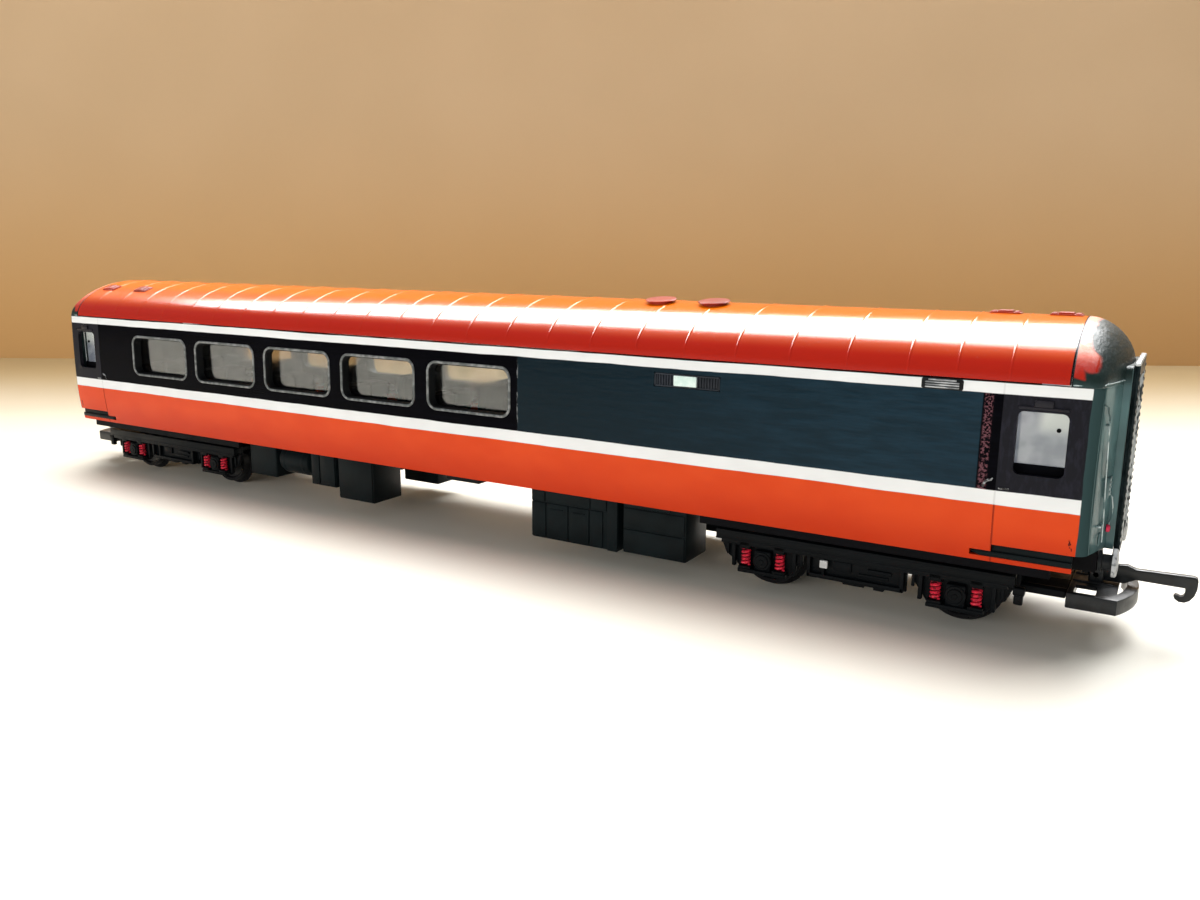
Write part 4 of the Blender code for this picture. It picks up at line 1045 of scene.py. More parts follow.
def build_vestibules():
    """Frosted screens behind the door windows that glow with painted light, a black sheet of
    painted shade below each window and a spot on the glass.
    """
    # Painted light: the screens glow by emission though they are no lamp, with a pale patch of
    # painted light high on each.
    glowing_frost = Finish("vestibule_frost_glow", 0.5)
    cloud = glowing_frost.mottle(3.5 * MM, detail=2.0, seed=3.8)
    lift = glowing_frost.step(glowing_frost.axis("Z"), 30 * MM, 38 * MM)
    light = glowing_frost.mix(glowing_frost.step(cloud, 0.35, 0.65), (0.20, 0.21, 0.25), (0.32, 0.33, 0.36))
    across = glowing_frost.step(glowing_frost.sum("ABSOLUTE", glowing_frost.axis("X")), 119.5 * MM, 121.5 * MM)
    patch = glowing_frost.times(across, glowing_frost.step(glowing_frost.axis("Z"), 34.2 * MM, 36.4 * MM))
    light = glowing_frost.mix(glowing_frost.times(patch, lift), light, (0.62, 0.62, 0.58))
    glowing_frost.colour(light)
    glowing_frost.feed(glowing_frost.shader.inputs["Emission Color"], light)
    glowing_frost.shader.inputs["Emission Strength"].default_value = 0.75
    shade_and_spot_black = moulded("vestibule_shade_and_spot_black", (0.002, 0.002, 0.003), 0.6, specular=0.05)
    for end, forward in ENDS.items():
        for side, sign in SIDES.items():
            xs = forward * 116.6, forward * 125.2
            screen = block(xs, (sign * 15.2, sign * 15.5), (29.8, 40.3), 0.1)
            piece(f"vestibule_screen_{end}_{side}", screen, glowing_frost.material, slot="clear_glazing")
            # A black sheet of painted shade just outside the glass, below each door window.
            low = block(xs, (sign * 16.35, sign * 16.6), (27.2, 30.2), 0.1)
            place = forward * 123.23 * MM, sign * 16.25 * MM, 35.78 * MM
            dot = in_mm([(0, 0), (0.33, 0), (0.33, sign * 0.25), (0, sign * 0.25)])
            dot = turned_shape(dot, "Y", place, 20)
            name = f"vestibule_sill_{end}_{side}"
            piece(name, [low, dot], shade_and_spot_black.material, slot="interior_plastic")


def dress(name, material):
    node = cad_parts[name]
    node.data.materials.clear()
    node.data.materials.append(material)


def build_underframe():
    chassis = moulded("chassis_black", (0.003, 0.003, 0.004), 0.5, specular=0.06)
    dress("underframe", chassis.material)
    dark, light = (0.22, 0.21, 0.20), (0.40, 0.40, 0.40)
    steel, rust = patchy(
        "dull_steel", 0.35, 1.5, 3.2, (0.4, 0.7), dark, light, (0.02, 0.5),
        detail=5.0, metallic=1.0,
    )
    steel.rough(steel.step(rust, 0.3, 0.7, 0.25, 0.5))
    for node in ("ballast_weight", "bogie_pin_front", "bogie_pin_rear"):
        dress(node, steel.material)
    low, _ = box_mm("underframe")
    pitch, each_way = 9.4, 6
    ribs = []
    for i in range(-each_way, each_way + 1):
        ribs.append(block(span(pitch * i, 0.4), (-15, 15), (low.z + 1.6, 14.9), 0.1))
    piece("underframe_crossbars", ribs, chassis.material, slot="underframe_plastic")


# Doors of the equipment boxes: (from, to) along and (from, to) up from the box's corner, in mm
BOX_DOORS = {
    "battery_box": (
        (0.2, 3.4, 7.9, 10.9), (3.6, 14.2, 7.9, 10.9), (14.4, 18.0, 7.9, 10.9),
        (0.2, 3.6, 0.4, 7.7), (3.8, 9.0, 0.4, 7.7), (9.2, 14.0, 0.4, 7.7),
        (14.2, 17.2, 0.4, 7.7), (18.3, 20.6, 0.0, 11.1),
    ),
    "cooler_box": ((0.3, 13.5, 0.3, 4.9), (0.3, 13.5, 5.1, 9.2), (0.3, 10.5, 9.4, 10.6)),
    "converter_box": ((0.3, 10.8, 0.3, 10.3),),
    "relay_box": ((0.2, 2.8, 0.2, 8.2), (3.1, 7.8, 0.2, 8.2)),
}


def panel_box(node, doors, black):
    """An equipment box with raised doors on its outer face."""
    low, high = box_mm(node)
    sign = 1 if low.y > 0 else -1
    back, face = (low.y, high.y) if sign > 0 else (high.y, low.y)
    recess = 0.28
    shapes = [block((low.x, high.x), (back, face - sign * recess), (low.z, high.z), 0.35)]
    for x_from, x_to, z_from, z_to in doors:
        xs, zs = (low.x + x_from, low.x + x_to), (low.z + z_from, low.z + z_to)
        shapes.append(block(xs, (face, face - sign * (recess + 0.2)), zs, 0.12))
    piece(f"{node}_case", shapes, black, slot="underframe_plastic", replaces=[node])


def build_equipment(black):
    for side in SIDES:
        for name, doors in BOX_DOORS.items():
            panel_box(f"{name}_{side}", doors, black)
        box_handles(side, black)
    for node in ("relay_tray", "alternator_case"):
        low, high = box_mm(node)
        shapes = [box_shape(*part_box(node), 0.5 * MM, 3)]
        fins = int((high.x - low.x) / 1.5)
        for i in range(1, fins):
            x = low.x + (high.x - low.x) * i / fins
            ys, zs = (low.y + 0.6, high.y - 0.6), (low.z + 0.1, low.z + 0.7)
            shapes.append(block(span(x, 0.15), ys, zs, 0.05))
        piece(f"{node}_cover", shapes, black, slot="underframe_plastic", replaces=[node])
    build_reservoir(black)


def build_reservoir(black):
    """The air tank on its side, with two straps up to the floor."""
    low, high = box_mm("air_reservoir")
    radius, length = 3.5, high.x - low.x
    centre = low.x * MM, -11.2 * MM, 10.3 * MM
    dome = [(0, 0), (2.2, 0.15), (3.1, 0.7), (radius, 1.6)]
    profile = dome + [(r, length - x) for r, x in reversed(dome)]
    shapes = [turned_shape(in_mm(profile), "X", centre, 36)]
    for x in (-49.5, -43.5):
        shapes.append(block(span(x, 0.5), (-12.2, -10.2), (11, high.z), 0.1))
        strap = [(radius + 0.02, edge - low.x) for edge in span(x, 0.35)]
        shapes.append(turned_shape(in_mm(strap), "X", centre, 36))
    node = "air_reservoir"
    piece(f"{node}_tank", shapes, black, slot="underframe_plastic", replaces=[node])


def box_handles(side, black):
    """Two bar handles high on the middle doors of the battery box."""
    low, high = box_mm(f"battery_box_{side}")
    sign = SIDES[side]
    face = (high.y if sign > 0 else low.y) - sign * 0.12
    shapes = []
    for x in (6.4, 11.6):
        points = []
        for along, out in ((-1.5, -0.2), (-1.4, 0.12), (1.4, 0.12), (1.5, -0.2)):
            points.append((low.x + x + along, face + sign * out, low.z + 6.6))
        shapes.append(wire(points, 0.14, 6))
    piece(f"battery_box_handles_{side}", shapes, black, slot="underframe_plastic")


# The ends


def at_end(shape, sign):
    return moved(shape, Matrix.Diagonal((sign, 1, 1, 1))) if sign < 0 else shape


def end_panel(y, proud=0.0):
    """X of the bowed end at this y in mm, plus a distance outwards."""
    return BODY_END / MM - END_BOW * MM * y * y + proud


def build_gangways():
    """Folded bellows round a doorway, studs down both edges, and a plate over the top."""
    rubber, tone = patchy(
        "gangway_rubber", 0.5, 1.6, 2.8, (0.35, 0.7), (0.006, 0.010, 0.011), (0.022, 0.034, 0.037),
        (0.05, 0.6), (1, 1, 2), specular=0.12,
    )
    rubber.rough(rubber.step(tone, 0.3, 0.7, 0.3, 0.5))
    wear_and_glint, _ = patchy(
        "glint_edge", 0.4, 0.45, 6.4, (0.40, 0.50), (0.05, 0.06, 0.06), (0.62, 0.64, 0.64),
        (0.05, 0.8), (1, 1, 2.5), 3.0,
    )
    dark, light = (0.16, 0.15, 0.14), (0.66, 0.68, 0.68)
    grey, _ = patchy("canopy_grey", 0.4, 0.7, 1.8, (0.35, 0.62), dark, light, (0.05, 0.7))
    hole_half, hole_low, hole_high = 5.2, 17.6, 43.4
    pitch = 1.2
    for end, sign in ENDS.items():
        low, high = box_mm(f"gangway_{end}")
        back, front = (low.x, high.x) if sign > 0 else (-high.x, -low.x)
        half = high.y
        folds = [(back, 0.35), (back + 0.15, 0.2), (back + 0.3, 0.35), (back + 0.42, 0.2)]
        folds += [(front - 0.42, 0.25), (front - 0.4, 0.05), (front - 0.12, 0.05)]
        rings = []
        for x, inset in folds:
            outline = rounded_rectangle(2 * (half - inset), high.z - low.z - 2 * inset, 1.2, 5)
            rings.append(in_mm((sign * x, y, z + (low.z + high.z) / 2) for y, z in outline))
        for x in (front - 0.12, back):
            outline = rounded_rectangle(2 * hole_half, hole_high - hole_low, 0.8, 5)
            rings.append(in_mm((sign * x, y, z + (hole_low + hole_high) / 2) for y, z in outline))
        piece(
            f"gangway_bellows_{end}",
            looped_shape(rings),
            rubber.material,
            slot="gangway_plastic",
            replaces=[f"gangway_{end}"],
        )
        studs, lines = [], []
        for across in (-1, 1):
            edge = across * (half - 0.9), across * (half - 0.01)
            for i in range(int((high.z - low.z - 2) / pitch) + 1):
                z = low.z + 1 + pitch * i
                studs.append(block((sign * (front - 0.36), sign * front), edge, span(z, 0.3), 0.14))
            # Pale lines down both sides of the doorway are painted highlights, broken up in
            # patches.
            xs = sign * (front - 0.5), sign * (front - 0.02)
            ys = across * (hole_half - 0.08), across * (hole_half + 0.3)
            lines.append(block(xs, ys, (hole_low + 0.1, hole_high - 0.1), 0.05))
        piece(f"gangway_studs_{end}", studs, rubber.material, slot="gangway_plastic")
        piece(f"gangway_edge_{end}", lines, wear_and_glint.material, slot="gangway_plastic")
        xs = sign * (back + 0.02), sign * (front - 0.1)
        canopy = block(xs, span(0, half - 0.15), (high.z - 0.5, high.z), 0.2, 3)
        piece(f"gangway_canopy_{end}", canopy, grey.material, slot="gangway_plastic")
        build_corridor_door(end, sign)


def build_corridor_door(end, sign):
    """The door inside the gangway: a panelled leaf with raised frames and a handle."""
    black, deep = (0.012, 0.018, 0.020), (0.006, 0.008, 0.009)
    paint = gloss_paint(f"corridor_door_{end}_paint", black, deep, 0.3)
    low, high = box_mm(f"corridor_door_{end}")
    leaf = (low.x, low.x + 0.35) if sign > 0 else (high.x - 0.35, high.x)
    shapes = [block(leaf, (low.y, high.y), (low.z, high.z), 0.05)]
    for z0, z1, half in ((18.8, 27.0, 3.6), (31.0, 41.4, 3.2)):
        rim = rounded_rectangle(2 * half, z1 - z0, 0.8, 4)
        points = in_mm((sign * 132.28, y, z + (z0 + z1) / 2) for y, z in rim)
        shapes.append(tube_shape(points, 0.16 * MM, 6, closed=True))
    knob = [(0.4, 132.1), (0.4, 132.2), (0.22, 132.25), (0.22, 132.4), (0.42, 132.45), (0, 132.6)]
    knob = turned_shape(in_mm(knob), "X", (0, 3.6 * MM, 29.5 * MM), 20)
    shapes.append(at_end(knob, sign))
    node = f"corridor_door_{end}"
    piece(f"corridor_door_leaf_{end}", shapes, paint.material, slot="body_paint", replaces=[node])


# Routes over the bowed end: (across, up) or (across, up, proud of the panel), in mm
END_RAIL = ((14.6, 37.6), (14.39, 36.5), (13.72, 30.0), (12.7, 22.0), (12.45, 18.4))
END_HOOK = ((16.2, 40.2, 0.1), (15.6, 39.8, 0.4), (15.3, 38.9, 0.4), (14.7, 38.2, 0.4))
END_HOOK += ((14.5, 37.4, 0.35),)
END_HOSE = ((10.2, 25.6, 0.1), (9.9, 25.1, 0.4), (9.4, 23.4, 0.5), (9.4, 21.8, 0.5))
END_HOSE += ((9.9, 20.5, 0.3),)
# The lip's way round the corner to the side: (along, across, up)
LIP_ROUND_CORNER = (
    (128.9, 16.6, 43.15), (127.6, 17.5, 43.05), (126.0, 18.05, 43.0), (124.7, 18.15, 43.0),
)


def build_end_details():
    """Handrails, brackets, socket, hose and lamp of the bowed ends, and the lip over them."""
    green = gloss_paint("end_trim", tinted(END_GREEN, 1.1), tinted(END_GREEN, 0.5), 0.2, (1, 1, 5))
    bright, _ = patchy(
        "end_bright_edge", 0.35, 0.7, 5.2, (0.4, 0.56), END_GREEN, (0.52, 0.60, 0.60), (0.03, 0.6),
        (1, 1, 3),
    )
    red = moulded("lamp_red", (0.75, 0.04, 0.10), 0.3, grain=0.3 * MM)
    dark = moulded("end_recess", (0.006, 0.008, 0.008), 0.5)
    lamp_profile = in_mm([(0.6, 0), (0.6, 0.3), (0.45, 0.5), (0, 0.56)])
    lip_ys = [16.2 * i / 24 for i in range(14, 25)]
    for end, sign in ENDS.items():
        trims, brights, lamps, holes = [], [], [], []
        for across in (-1, 1):
            rail = [(end_panel(y, 0.35), across * y, z) for y, z in END_RAIL]
            brights.append(wire(rail, 0.09))
            for y, z in ((14.45, 37.0), (13.2, 28.2), (12.6, 21.4)):
                x = end_panel(y)
                trims.append(block((x - 0.4, x + 0.3), span(across * y, 0.25), span(z, 0.18), 0.1))
            hook = [(end_panel(y, proud), across * y, z) for y, z, proud in END_HOOK]
            trims.append(wire(hook, 0.12))
            x, y = end_panel(11.2), across * 11.2
            trims.append(block((x - 0.6, x + 0.3), span(y, 1.7), (25.4, 28.6), 0.25, 3))
            for z in (25.8, 26.55, 27.3, 28.05):
                for left in (y - 0.9, y + 0.5):
                    pin = block((x + 0.2, x + 0.42), (left, left + 0.8), (z, z + 0.34), 0.08)
                    brights.append(pin)
            hose = [(end_panel(y, proud), across * y, z) for y, z, proud in END_HOSE]
            brights.append(wire(hose, 0.1))
            centre = end_panel(9.6) * MM, across * 9.9 * MM, 20.1 * MM
            lamps.append(turned_shape(lamp_profile, "X", centre, 24))
            x, y = end_panel(12.9), across * 12.6
            bar = block((x - 0.5, x + 0.3), span(across * 12.9, 1.3), (21.0, 21.25), 0.08)
            brights.append(bar)
            holes.append(block((x - 0.6, x + 0.12), span(y, 0.6), (18.1, 19.5), 0.25))
            rim = rounded_rectangle(1.8, 2.1, 0.5, 4)
            rim = in_mm((x + 0.1, y + u, 18.8 + v) for u, v in rim)
            trims.append(tube_shape(rim, 0.1 * MM, 6, closed=True))
            strip = []
            for z in range(17, 42):
                y = (side_half_width(z * MM) - CORNER_WIDTH) / MM
                strip.append((end_panel(y, 0.02), across * y, z))
            trims.append(wire(strip, 0.07, 6))
            edge = [(131.85, across * 8.95, z) for z in (16.6, 30.0, 45.0)]
            trims.append(wire(edge, 0.07, 6))
            lip = [(end_panel(y, 0.1), across * y, 43.25) for y in lip_ys]
            lip += [(x, across * y, z) for x, y, z in LIP_ROUND_CORNER]
            brights.append(wire(lip, 0.1))
        for name, shapes, finish, slot in (
            ("fittings", trims, green, "end_paint"),
            ("rails", brights, bright, "end_paint"),
            ("lamps", lamps, red, "spring_paint"),
            ("sockets", holes, dark, "end_paint"),
        ):
            shapes = [at_end(shape, sign) for shape in shapes]
            piece(f"end_{name}_{end}", shapes, finish.material, slot=slot)


def build_buffers():
    plastic = moulded("buffer_black", (0.014, 0.016, 0.018), 0.4)
    dark, light = (0.12, 0.13, 0.14), (0.42, 0.43, 0.44)
    rim, _ = patchy("buffer_rim", 0.4, 0.6, 4.6, (0.30, 0.50), dark, light, (0.03, 0.6))
    for end, sign in ENDS.items():
        for side in SIDES:
            node = f"buffer_{end}_{side}"
            low, high = box_mm(node)
            centre = 0, (low.y + high.y) / 2 * MM, (low.z + high.z) / 2 * MM
            start, stop = sorted((abs(low.x), abs(high.x)))
            radius = (high.y - low.y) / 2
            shank = [(0, start), (1.7, start), (1.7, start + 0.5), (1.2, start + 0.55)]
            shank += [(1.2, stop - 1.02), (radius - 0.1, stop - 0.95)]
            head = [(radius, stop - 0.8), (radius, stop - 0.3)]
            head += [(radius - 0.25, stop - 0.12), (radius * 0.5, stop), (0, stop)]
            body = turned_shape(in_mm([*shank, head[0], (0, stop - 0.8)]), "X", centre, 40)
            face = turned_shape(in_mm([(0, stop - 0.8), *head]), "X", centre, 40)
            body, face = at_end(body, sign), at_end(face, sign)
            piece(f"{node}_shank", body, plastic.material, slot="bogie_plastic", replaces=[node])
            piece(f"{node}_head", face, rim.material, slot="bogie_plastic")


# Bogies, wheels and couplings

BOGIE_X = 93


def build_bogies():
    black = moulded("bogie_black", (0.003, 0.004, 0.005), 0.4, specular=0.1)
    tyre = moulded("wheel_black", (0.006, 0.006, 0.007), 0.32)
    steel, _ = patchy(
        "axle_steel", 0.3, 0.7, 0.0, (0.4, 0.7), (0.30, 0.30, 0.30), (0.48, 0.48, 0.48),
        (0.01, 0.4), (1, 6, 1), 3.0, metallic=1.0,
    )
    dark, light = (0.10, 0.008, 0.012), (0.66, 0.018, 0.045)
    red, _ = patchy("spring_red", 0.35, 0.5, 2.2, (0.36, 0.5), dark, light, (0.04, 0.7))
    pale = moulded("chassis_light_square", (0.62, 0.62, 0.61), 0.4, grain=0.4 * MM)
    for end, sign in ENDS.items():
        body = f"bogie_{end}"
        build_bogie_frame(end, sign * BOGIE_X, sign, body, black)
        springs = []
        for place in PLACES:
            low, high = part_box(f"axle_{end}_{place}")
            x, z = (low.x + high.x) / 2, (low.z + high.z) / 2
            build_wheelset(end, place, x, z, tyre.material, steel.material)
            for across in (-1, 1):
                for offset in (-3.3, 3.3):
                    middle = x + offset * MM, across * 14.1 * MM, 6.65 * MM
                    path = coil_points(middle, 0.66 * MM, 3.1 * MM, 4.5)
                    springs.append(tube_shape(path, 0.27 * MM, 6))
        piece(f"bogie_springs_{end}", springs, red.material, body, "spring_paint")
        if end == "front":
            square = block((86.9, 88.3), (-15.0, -14.4), (7.2, 8.6), 0.15)
            piece("bogie_light_square", square, pale.material, body, "trim_plastic")
        build_coupling(end, sign, body)


def build_bogie_frame(end, centre, sign, body, black):
    """The bogie: a top plate, and side frames with bars, axle guards, covers and steps."""

    def b(x0, x1, y0, y1, z0, z1, bevel=0.15):
        return block((centre + x0, centre + x1), (y0, y1), (z0, z1), bevel)

    shapes = [b(-25.8, 25.8, -6.6, 6.6, 10.4, 11.5), b(-9.8, 9.8, -13, 13, 10.3, 11.5)]
    for x in (-25.8, 23.9):
        shapes.append(b(x, x + 1.9, -13, 13, 10.4, 11.5))
    for y in (-13, 10.9):
        shapes.append(b(-25.8, 25.8, y, y + 2.1, 10.4, 11.5))
    outline = [
        (-25.9, 11.4), (-25.9, 9.4), (-25.5, 8.4), (-24.6, 6.4), (-22.6, 5.2), (-21.6, 3.7),
        (-12.4, 3.7), (-11.4, 5.2), (-9.9, 7.2), (-9.7, 9.4), (-8.7, 9.4), (-8.7, 5.0),
    ]
    outline += [(-x, z) for x, z in reversed(outline)]
    outline = in_mm((centre + x, z) for x, z in outline)
    for across in (-1, 1):

        def s(x0, x1, near, far, z0, z1, bevel=0.15, across=across):
            return b(x0, x1, across * near, across * far, z0, z1, bevel)

        ys = sorted((across * 12.3 * MM, across * 13.2 * MM))
        shapes.append(plate_shape(outline, "Y", *ys, 0.1 * MM))
        shapes.append(s(-26, 26, 13.0, 15.3, 9.75, 11.45, 0.2))
        shapes.append(s(-26, 26, 15.0, 15.32, 9.6, 9.95, 0.1))
        shapes.append(s(-26, 26, 15.0, 15.32, 11.1, 11.48, 0.1))
        shapes.append(s(-25, 25, 13.0, 15.0, 8.9, 9.8, 0.1))
        for x in (-8.6, 6.0):
            shapes.append(s(x, x + 2.6, 13.1, 15.28, 9.5, 11.5, 0.25))
            place = (centre + x + 1.3) * MM, across * 14.4 * MM, 11.2 * MM
            bolt = in_mm([(0.35, 0), (0.35, 0.3), (0, 0.34)])
            shapes.append(turned_shape(bolt, "Z", place, 12))
        shapes += mid_panel(s)
        for axle in (-17, 17):
            shapes += axle_guard(s, axle, centre, across)
        x = 25.7 if sign > 0 else -27.5
        shapes.append(s(x, x + 1.8, 13.4, 14.8, 8.2, 9.5, 0.2))
        shapes.append(s(x + 0.2, x + 1.6, 13.6, 14.6, 6.6, 8.4, 0.2))
    shapes.append(b(sign * 24.4, sign * 26.2, -9, 9, 7.2, 11.0, 0.3))
    tongue = sign * 26.0, sign * 32.95
    shapes.append(b(*tongue, -9, 9, 7.2, 8.45, 0.2))
    for y in (-7.6, -2.4, 2.4, 7.6):
        shapes.append(b(*tongue, *span(y, 0.3), 8.3, 8.5, 0.08))
    node = f"bogie_frame_{end}"
    piece(f"{node}_moulding", shapes, black.material, body, "bogie_plastic", [node])


def mid_panel(s):
    """The open box between the wheels, with its straps and the linkage inside."""
    shapes = [
        s(-8.5, 8.5, 13.1, 13.9, 5.1, 9.7, 0.15),
        s(-8.5, 8.5, 13.8, 14.6, 5.1, 5.9, 0.15),
        s(-8.5, -7.9, 13.8, 14.6, 5.1, 9.7, 0.12),
        s(7.9, 8.5, 13.8, 14.6, 5.1, 9.7, 0.12),
        s(-8.5, -5.6, 13.8, 14.6, 8.9, 9.7, 0.12),
        s(-5.8, -5.3, 13.8, 14.55, 5.6, 9.5, 0.12),
        s(-3.9, -0.6, 13.8, 14.3, 6.9, 8.7, 0.4),
        s(0.6, 5.9, 13.8, 14.2, 6.5, 7.1, 0.2),
        s(2.2, 6.4, 13.8, 14.4, 7.5, 8.2, 0.2),
        s(-2.0, 1.8, 13.2, 14.4, 4.7, 5.3, 0.15),
        s(3.4, 5.2, 13.2, 14.4, 4.6, 5.3, 0.15),
    ]
    return shapes


def axle_guard(s, axle, centre, across):
    """Axlebox with its round cover, spring seats, and the ribs of the guard."""
    shapes = [
        s(axle - 1.6, axle + 1.6, 13.1, 14.5, 4.2, 8.2, 0.35),
        s(axle - 4.6, axle + 4.6, 13.1, 15.0, 3.75, 4.5, 0.15),
    ]
    for way in (-1, 1):
        for near, far, reach, low, high, bevel in (
            (2.1, 4.5, 15.0, 4.5, 5.0, 0.15),
            (2.3, 4.3, 15.0, 8.3, 9.7, 0.15),
            (5.5, 6.2, 14.0, 4.4, 9.4, 0.15),
            (6.9, 7.4, 13.7, 6.4, 9.4, 0.12),
        ):
            shapes.append(s(axle + way * near, axle + way * far, 13.1, reach, low, high, bevel))
    place = (centre + axle) * MM, 0, 6.3 * MM
    for radius, reach in ((1.75, 14.7), (1.25, 14.95), (0.5, 15.05)):
        start, end = sorted((across * 13.2, across * reach))
        inner, edge = radius - 0.12, 0.12
        cover = [(0, start), (inner, start), (radius, start + edge), (radius, end - edge)]
        cover += [(inner, end), (0, end)]
        shapes.append(turned_shape(in_mm(cover), "Y", place, 28))
    return shapes


def build_wheelset(end, place, x, z, tyre, steel):
    body = f"wheelset_{end}_{place}"
    shaft = [(0, -12.6), (0.55, -12.55), (0.8, -11.9), (1.0, -10.4), (1.0, 10.4)]
    shaft += [(0.8, 11.9), (0.55, 12.55), (0, 12.6)]
    rod = turned_shape(in_mm(shaft), "Y", (x, 0, z), 24)
    piece(f"axle_{end}_{place}_shaft", rod, steel, body, "weight_steel", [f"axle_{end}_{place}"])
    profile = [
        (1.0, 7.25), (6.5, 7.25), (6.8, 7.3), (6.9, 7.48), (6.86, 7.66), (6.6, 7.85),
        (6.15, 8.05), (6.06, 8.2), (5.97, 9.9), (5.9, 10.0), (5.3, 10.0), (5.15, 9.9),
        (4.9, 9.45), (4.2, 9.3), (2.6, 9.35), (2.3, 9.6), (2.15, 10.1), (1.95, 10.2), (1.0, 10.2),
    ]
    for side, across in SIDES.items():
        points = in_mm((r, across * y) for r, y in profile)
        wheel = turned_ring(points, (x, z), 72)
        name = f"wheel_{end}_{place}_{side}"
        piece(f"{name}_turned", wheel, tyre, body, "wheel_plastic", [name], sharp=25)


def turned_ring(points, centre, segments):
    """A closed ring of (radius, y) turned about the Y axis, so that the bore stays open."""
    angles = [2 * math.pi * i / segments for i in range(segments)]
    x, z = centre
    rings = []
    for radius, y in points:
        rings.append([(x + radius * math.cos(a), y, z + radius * math.sin(a)) for a in angles])
    return looped_shape(rings)


def arc_across(start, rise, half, steps):
    """Points from one side to the other along a shallow curve that bows outwards."""
    ys = [half * (1 - 2 * i / steps) for i in range(steps + 1)]
    return [(start + rise * (1 - (y / half) ** 2), y) for y in ys]


# The coupling hook seen from the side, from its pivot along the top to the tip and back, in mm
HOOK_OUTLINE = (
    (128.2, 9.3), (128.2, 10.4), (128.6, 10.9), (129.3, 11.2), (131.6, 11.6), (134.0, 11.9),
    (134.8, 11.6), (135.4, 11.4), (139.6, 11.5), (143.5, 11.6), (143.95, 11.4), (144.1, 11.0),
    (144.1, 9.6), (143.8, 8.4), (143.2, 7.5), (142.5, 7.1), (141.7, 7.1), (141.1, 7.5),
    (140.9, 7.95), (141.15, 8.3), (141.5, 8.2), (141.9, 8.05), (142.25, 8.2), (142.45, 8.7),
    (142.4, 9.5), (139.0, 9.55), (135.4, 9.6), (134.6, 9.2), (133.8, 8.75), (129.6, 8.7),
)


def build_coupling(end, sign, body):
    """The wide tension-lock bar with its crescent gap and two slots, and the hook over it."""
    bottom, top, skin = 5.9, 8.5, 0.6
    half, crescent_half = 9.6, 6.4
    turn = Matrix.Rotation(0 if sign > 0 else math.pi, 4, "Z")
    outer = in_mm([(126.05, -half), (126.05, half), *arc_across(133.4, 2.6, half, 28)])
    bar = mesh_of(plate_shape(outer, "Z", bottom * MM, top * MM, 0.22 * MM), "bar")
    crescent = arc_across(133.1, 1.2, crescent_half, 16)
    gap = in_mm([crescent[-1], *crescent[:-1]])
    cuts = [
        plate_shape(gap, "Z", (bottom - 1) * MM, (top + 1) * MM),
        block((126.85, 133.15), (-8.8, 8.8), (bottom - 1, top - skin)),
        block((127.0, 130.2), (-8.6, -4.4), (bottom - 1, top + 1)),
        block((127.0, 130.2), (2.5, 6.7), (bottom - 1, top + 1)),
    ]
    bar = cut_mesh("bar", bar, [("DIFFERENCE", mesh_of(cut, "cut")) for cut in cuts])
    bar.transform(turn)
    plastic = Finish(f"coupling_black_{end}", 0.4)
    dust = plastic.mottle(2.4 * MM, detail=5.0, seed=8.8, roughness=0.65)
    fine = plastic.mottle(0.4 * MM, detail=2.0, seed=1.2)
    black, dusty = (0.004, 0.005, 0.006), (0.014, 0.016, 0.018)
    plastic.colour(plastic.mix(plastic.step(dust, 0.4, 0.72), black, dusty))
    plastic.rough(plastic.step(dust, 0.3, 0.7, 0.3, 0.5))
    plastic.bump(fine, 0.02 * MM, 0.6)
    name = f"coupling_bar_{end}"
    piece(name + "_plate", bar, plastic.material, body, "bogie_plastic", [name])
    ears = []
    for across in (-1, 1):
        ys = across * 0.75, across * 1.9
        ears.append(block((128.5, 130.7), ys, (top - 0.5, 11), 0.35, 3))
        ys = across * 2.0, across * 2.3
        ears.append(block((126.3, 132.4), ys, (top - 0.3, top + 0.2), 0.08))
    ears = [moved(ear, turn) for ear in ears]
    piece(f"coupling_ears_{end}", ears, plastic.material, body, "bogie_plastic")
    arm = plate_shape(in_mm(HOOK_OUTLINE), "Y", -0.6 * MM, 0.6 * MM, 0.12 * MM)
    pin = in_mm([(0, -1.9), (0.42, -1.9), (0.48, -1.8), (0.48, 1.8), (0.42, 1.9), (0, 1.9)])
    pin = turned_shape(pin, "Y", (129.6 * MM, 0, 9.9 * MM), 20)
    name = f"coupling_hook_{end}"
    shapes = [moved(arm, turn), moved(pin, turn)]
    piece(name + "_arm", shapes, plastic.material, f"hook_{end}", "bogie_plastic", [name])


# The set, lights and camera. Angles are in degrees, and yaw runs from +Y towards +X

WALL_DISTANCE, WALL_HEIGHT = 0.539, 0.34
CAMERA_AT = (0.13877, -0.17707, 0.0627)
CAMERA_YAW, CAMERA_PITCH, CAMERA_ROLL = -30.951, -11.764, 0.385
CAMERA_LENS = 29.44


def area_light(name, place, size, power, target=None, turn=0.0, diffuse=True, glossy=True):
    """A rectangular light that points at target, or straight down and turned, without one."""
    light = bpy.data.lights.new(name, "AREA")
    light.shape = "RECTANGLE"
    light.size, light.size_y = size
    light.energy = power
    obj = bpy.data.objects.new(name, light)
    obj.location = place
    obj.rotation_euler = (0, 0, turn)
    if target:
        aim = Vector(target) - Vector(place)
        obj.rotation_euler = aim.to_track_quat("-Z", "Y").to_euler()
    obj.visible_diffuse = diffuse
    obj.visible_glossy = glossy
    obj.visible_transmission = glossy
    obj.visible_camera = False
    bpy.context.scene.collection.objects.link(obj)


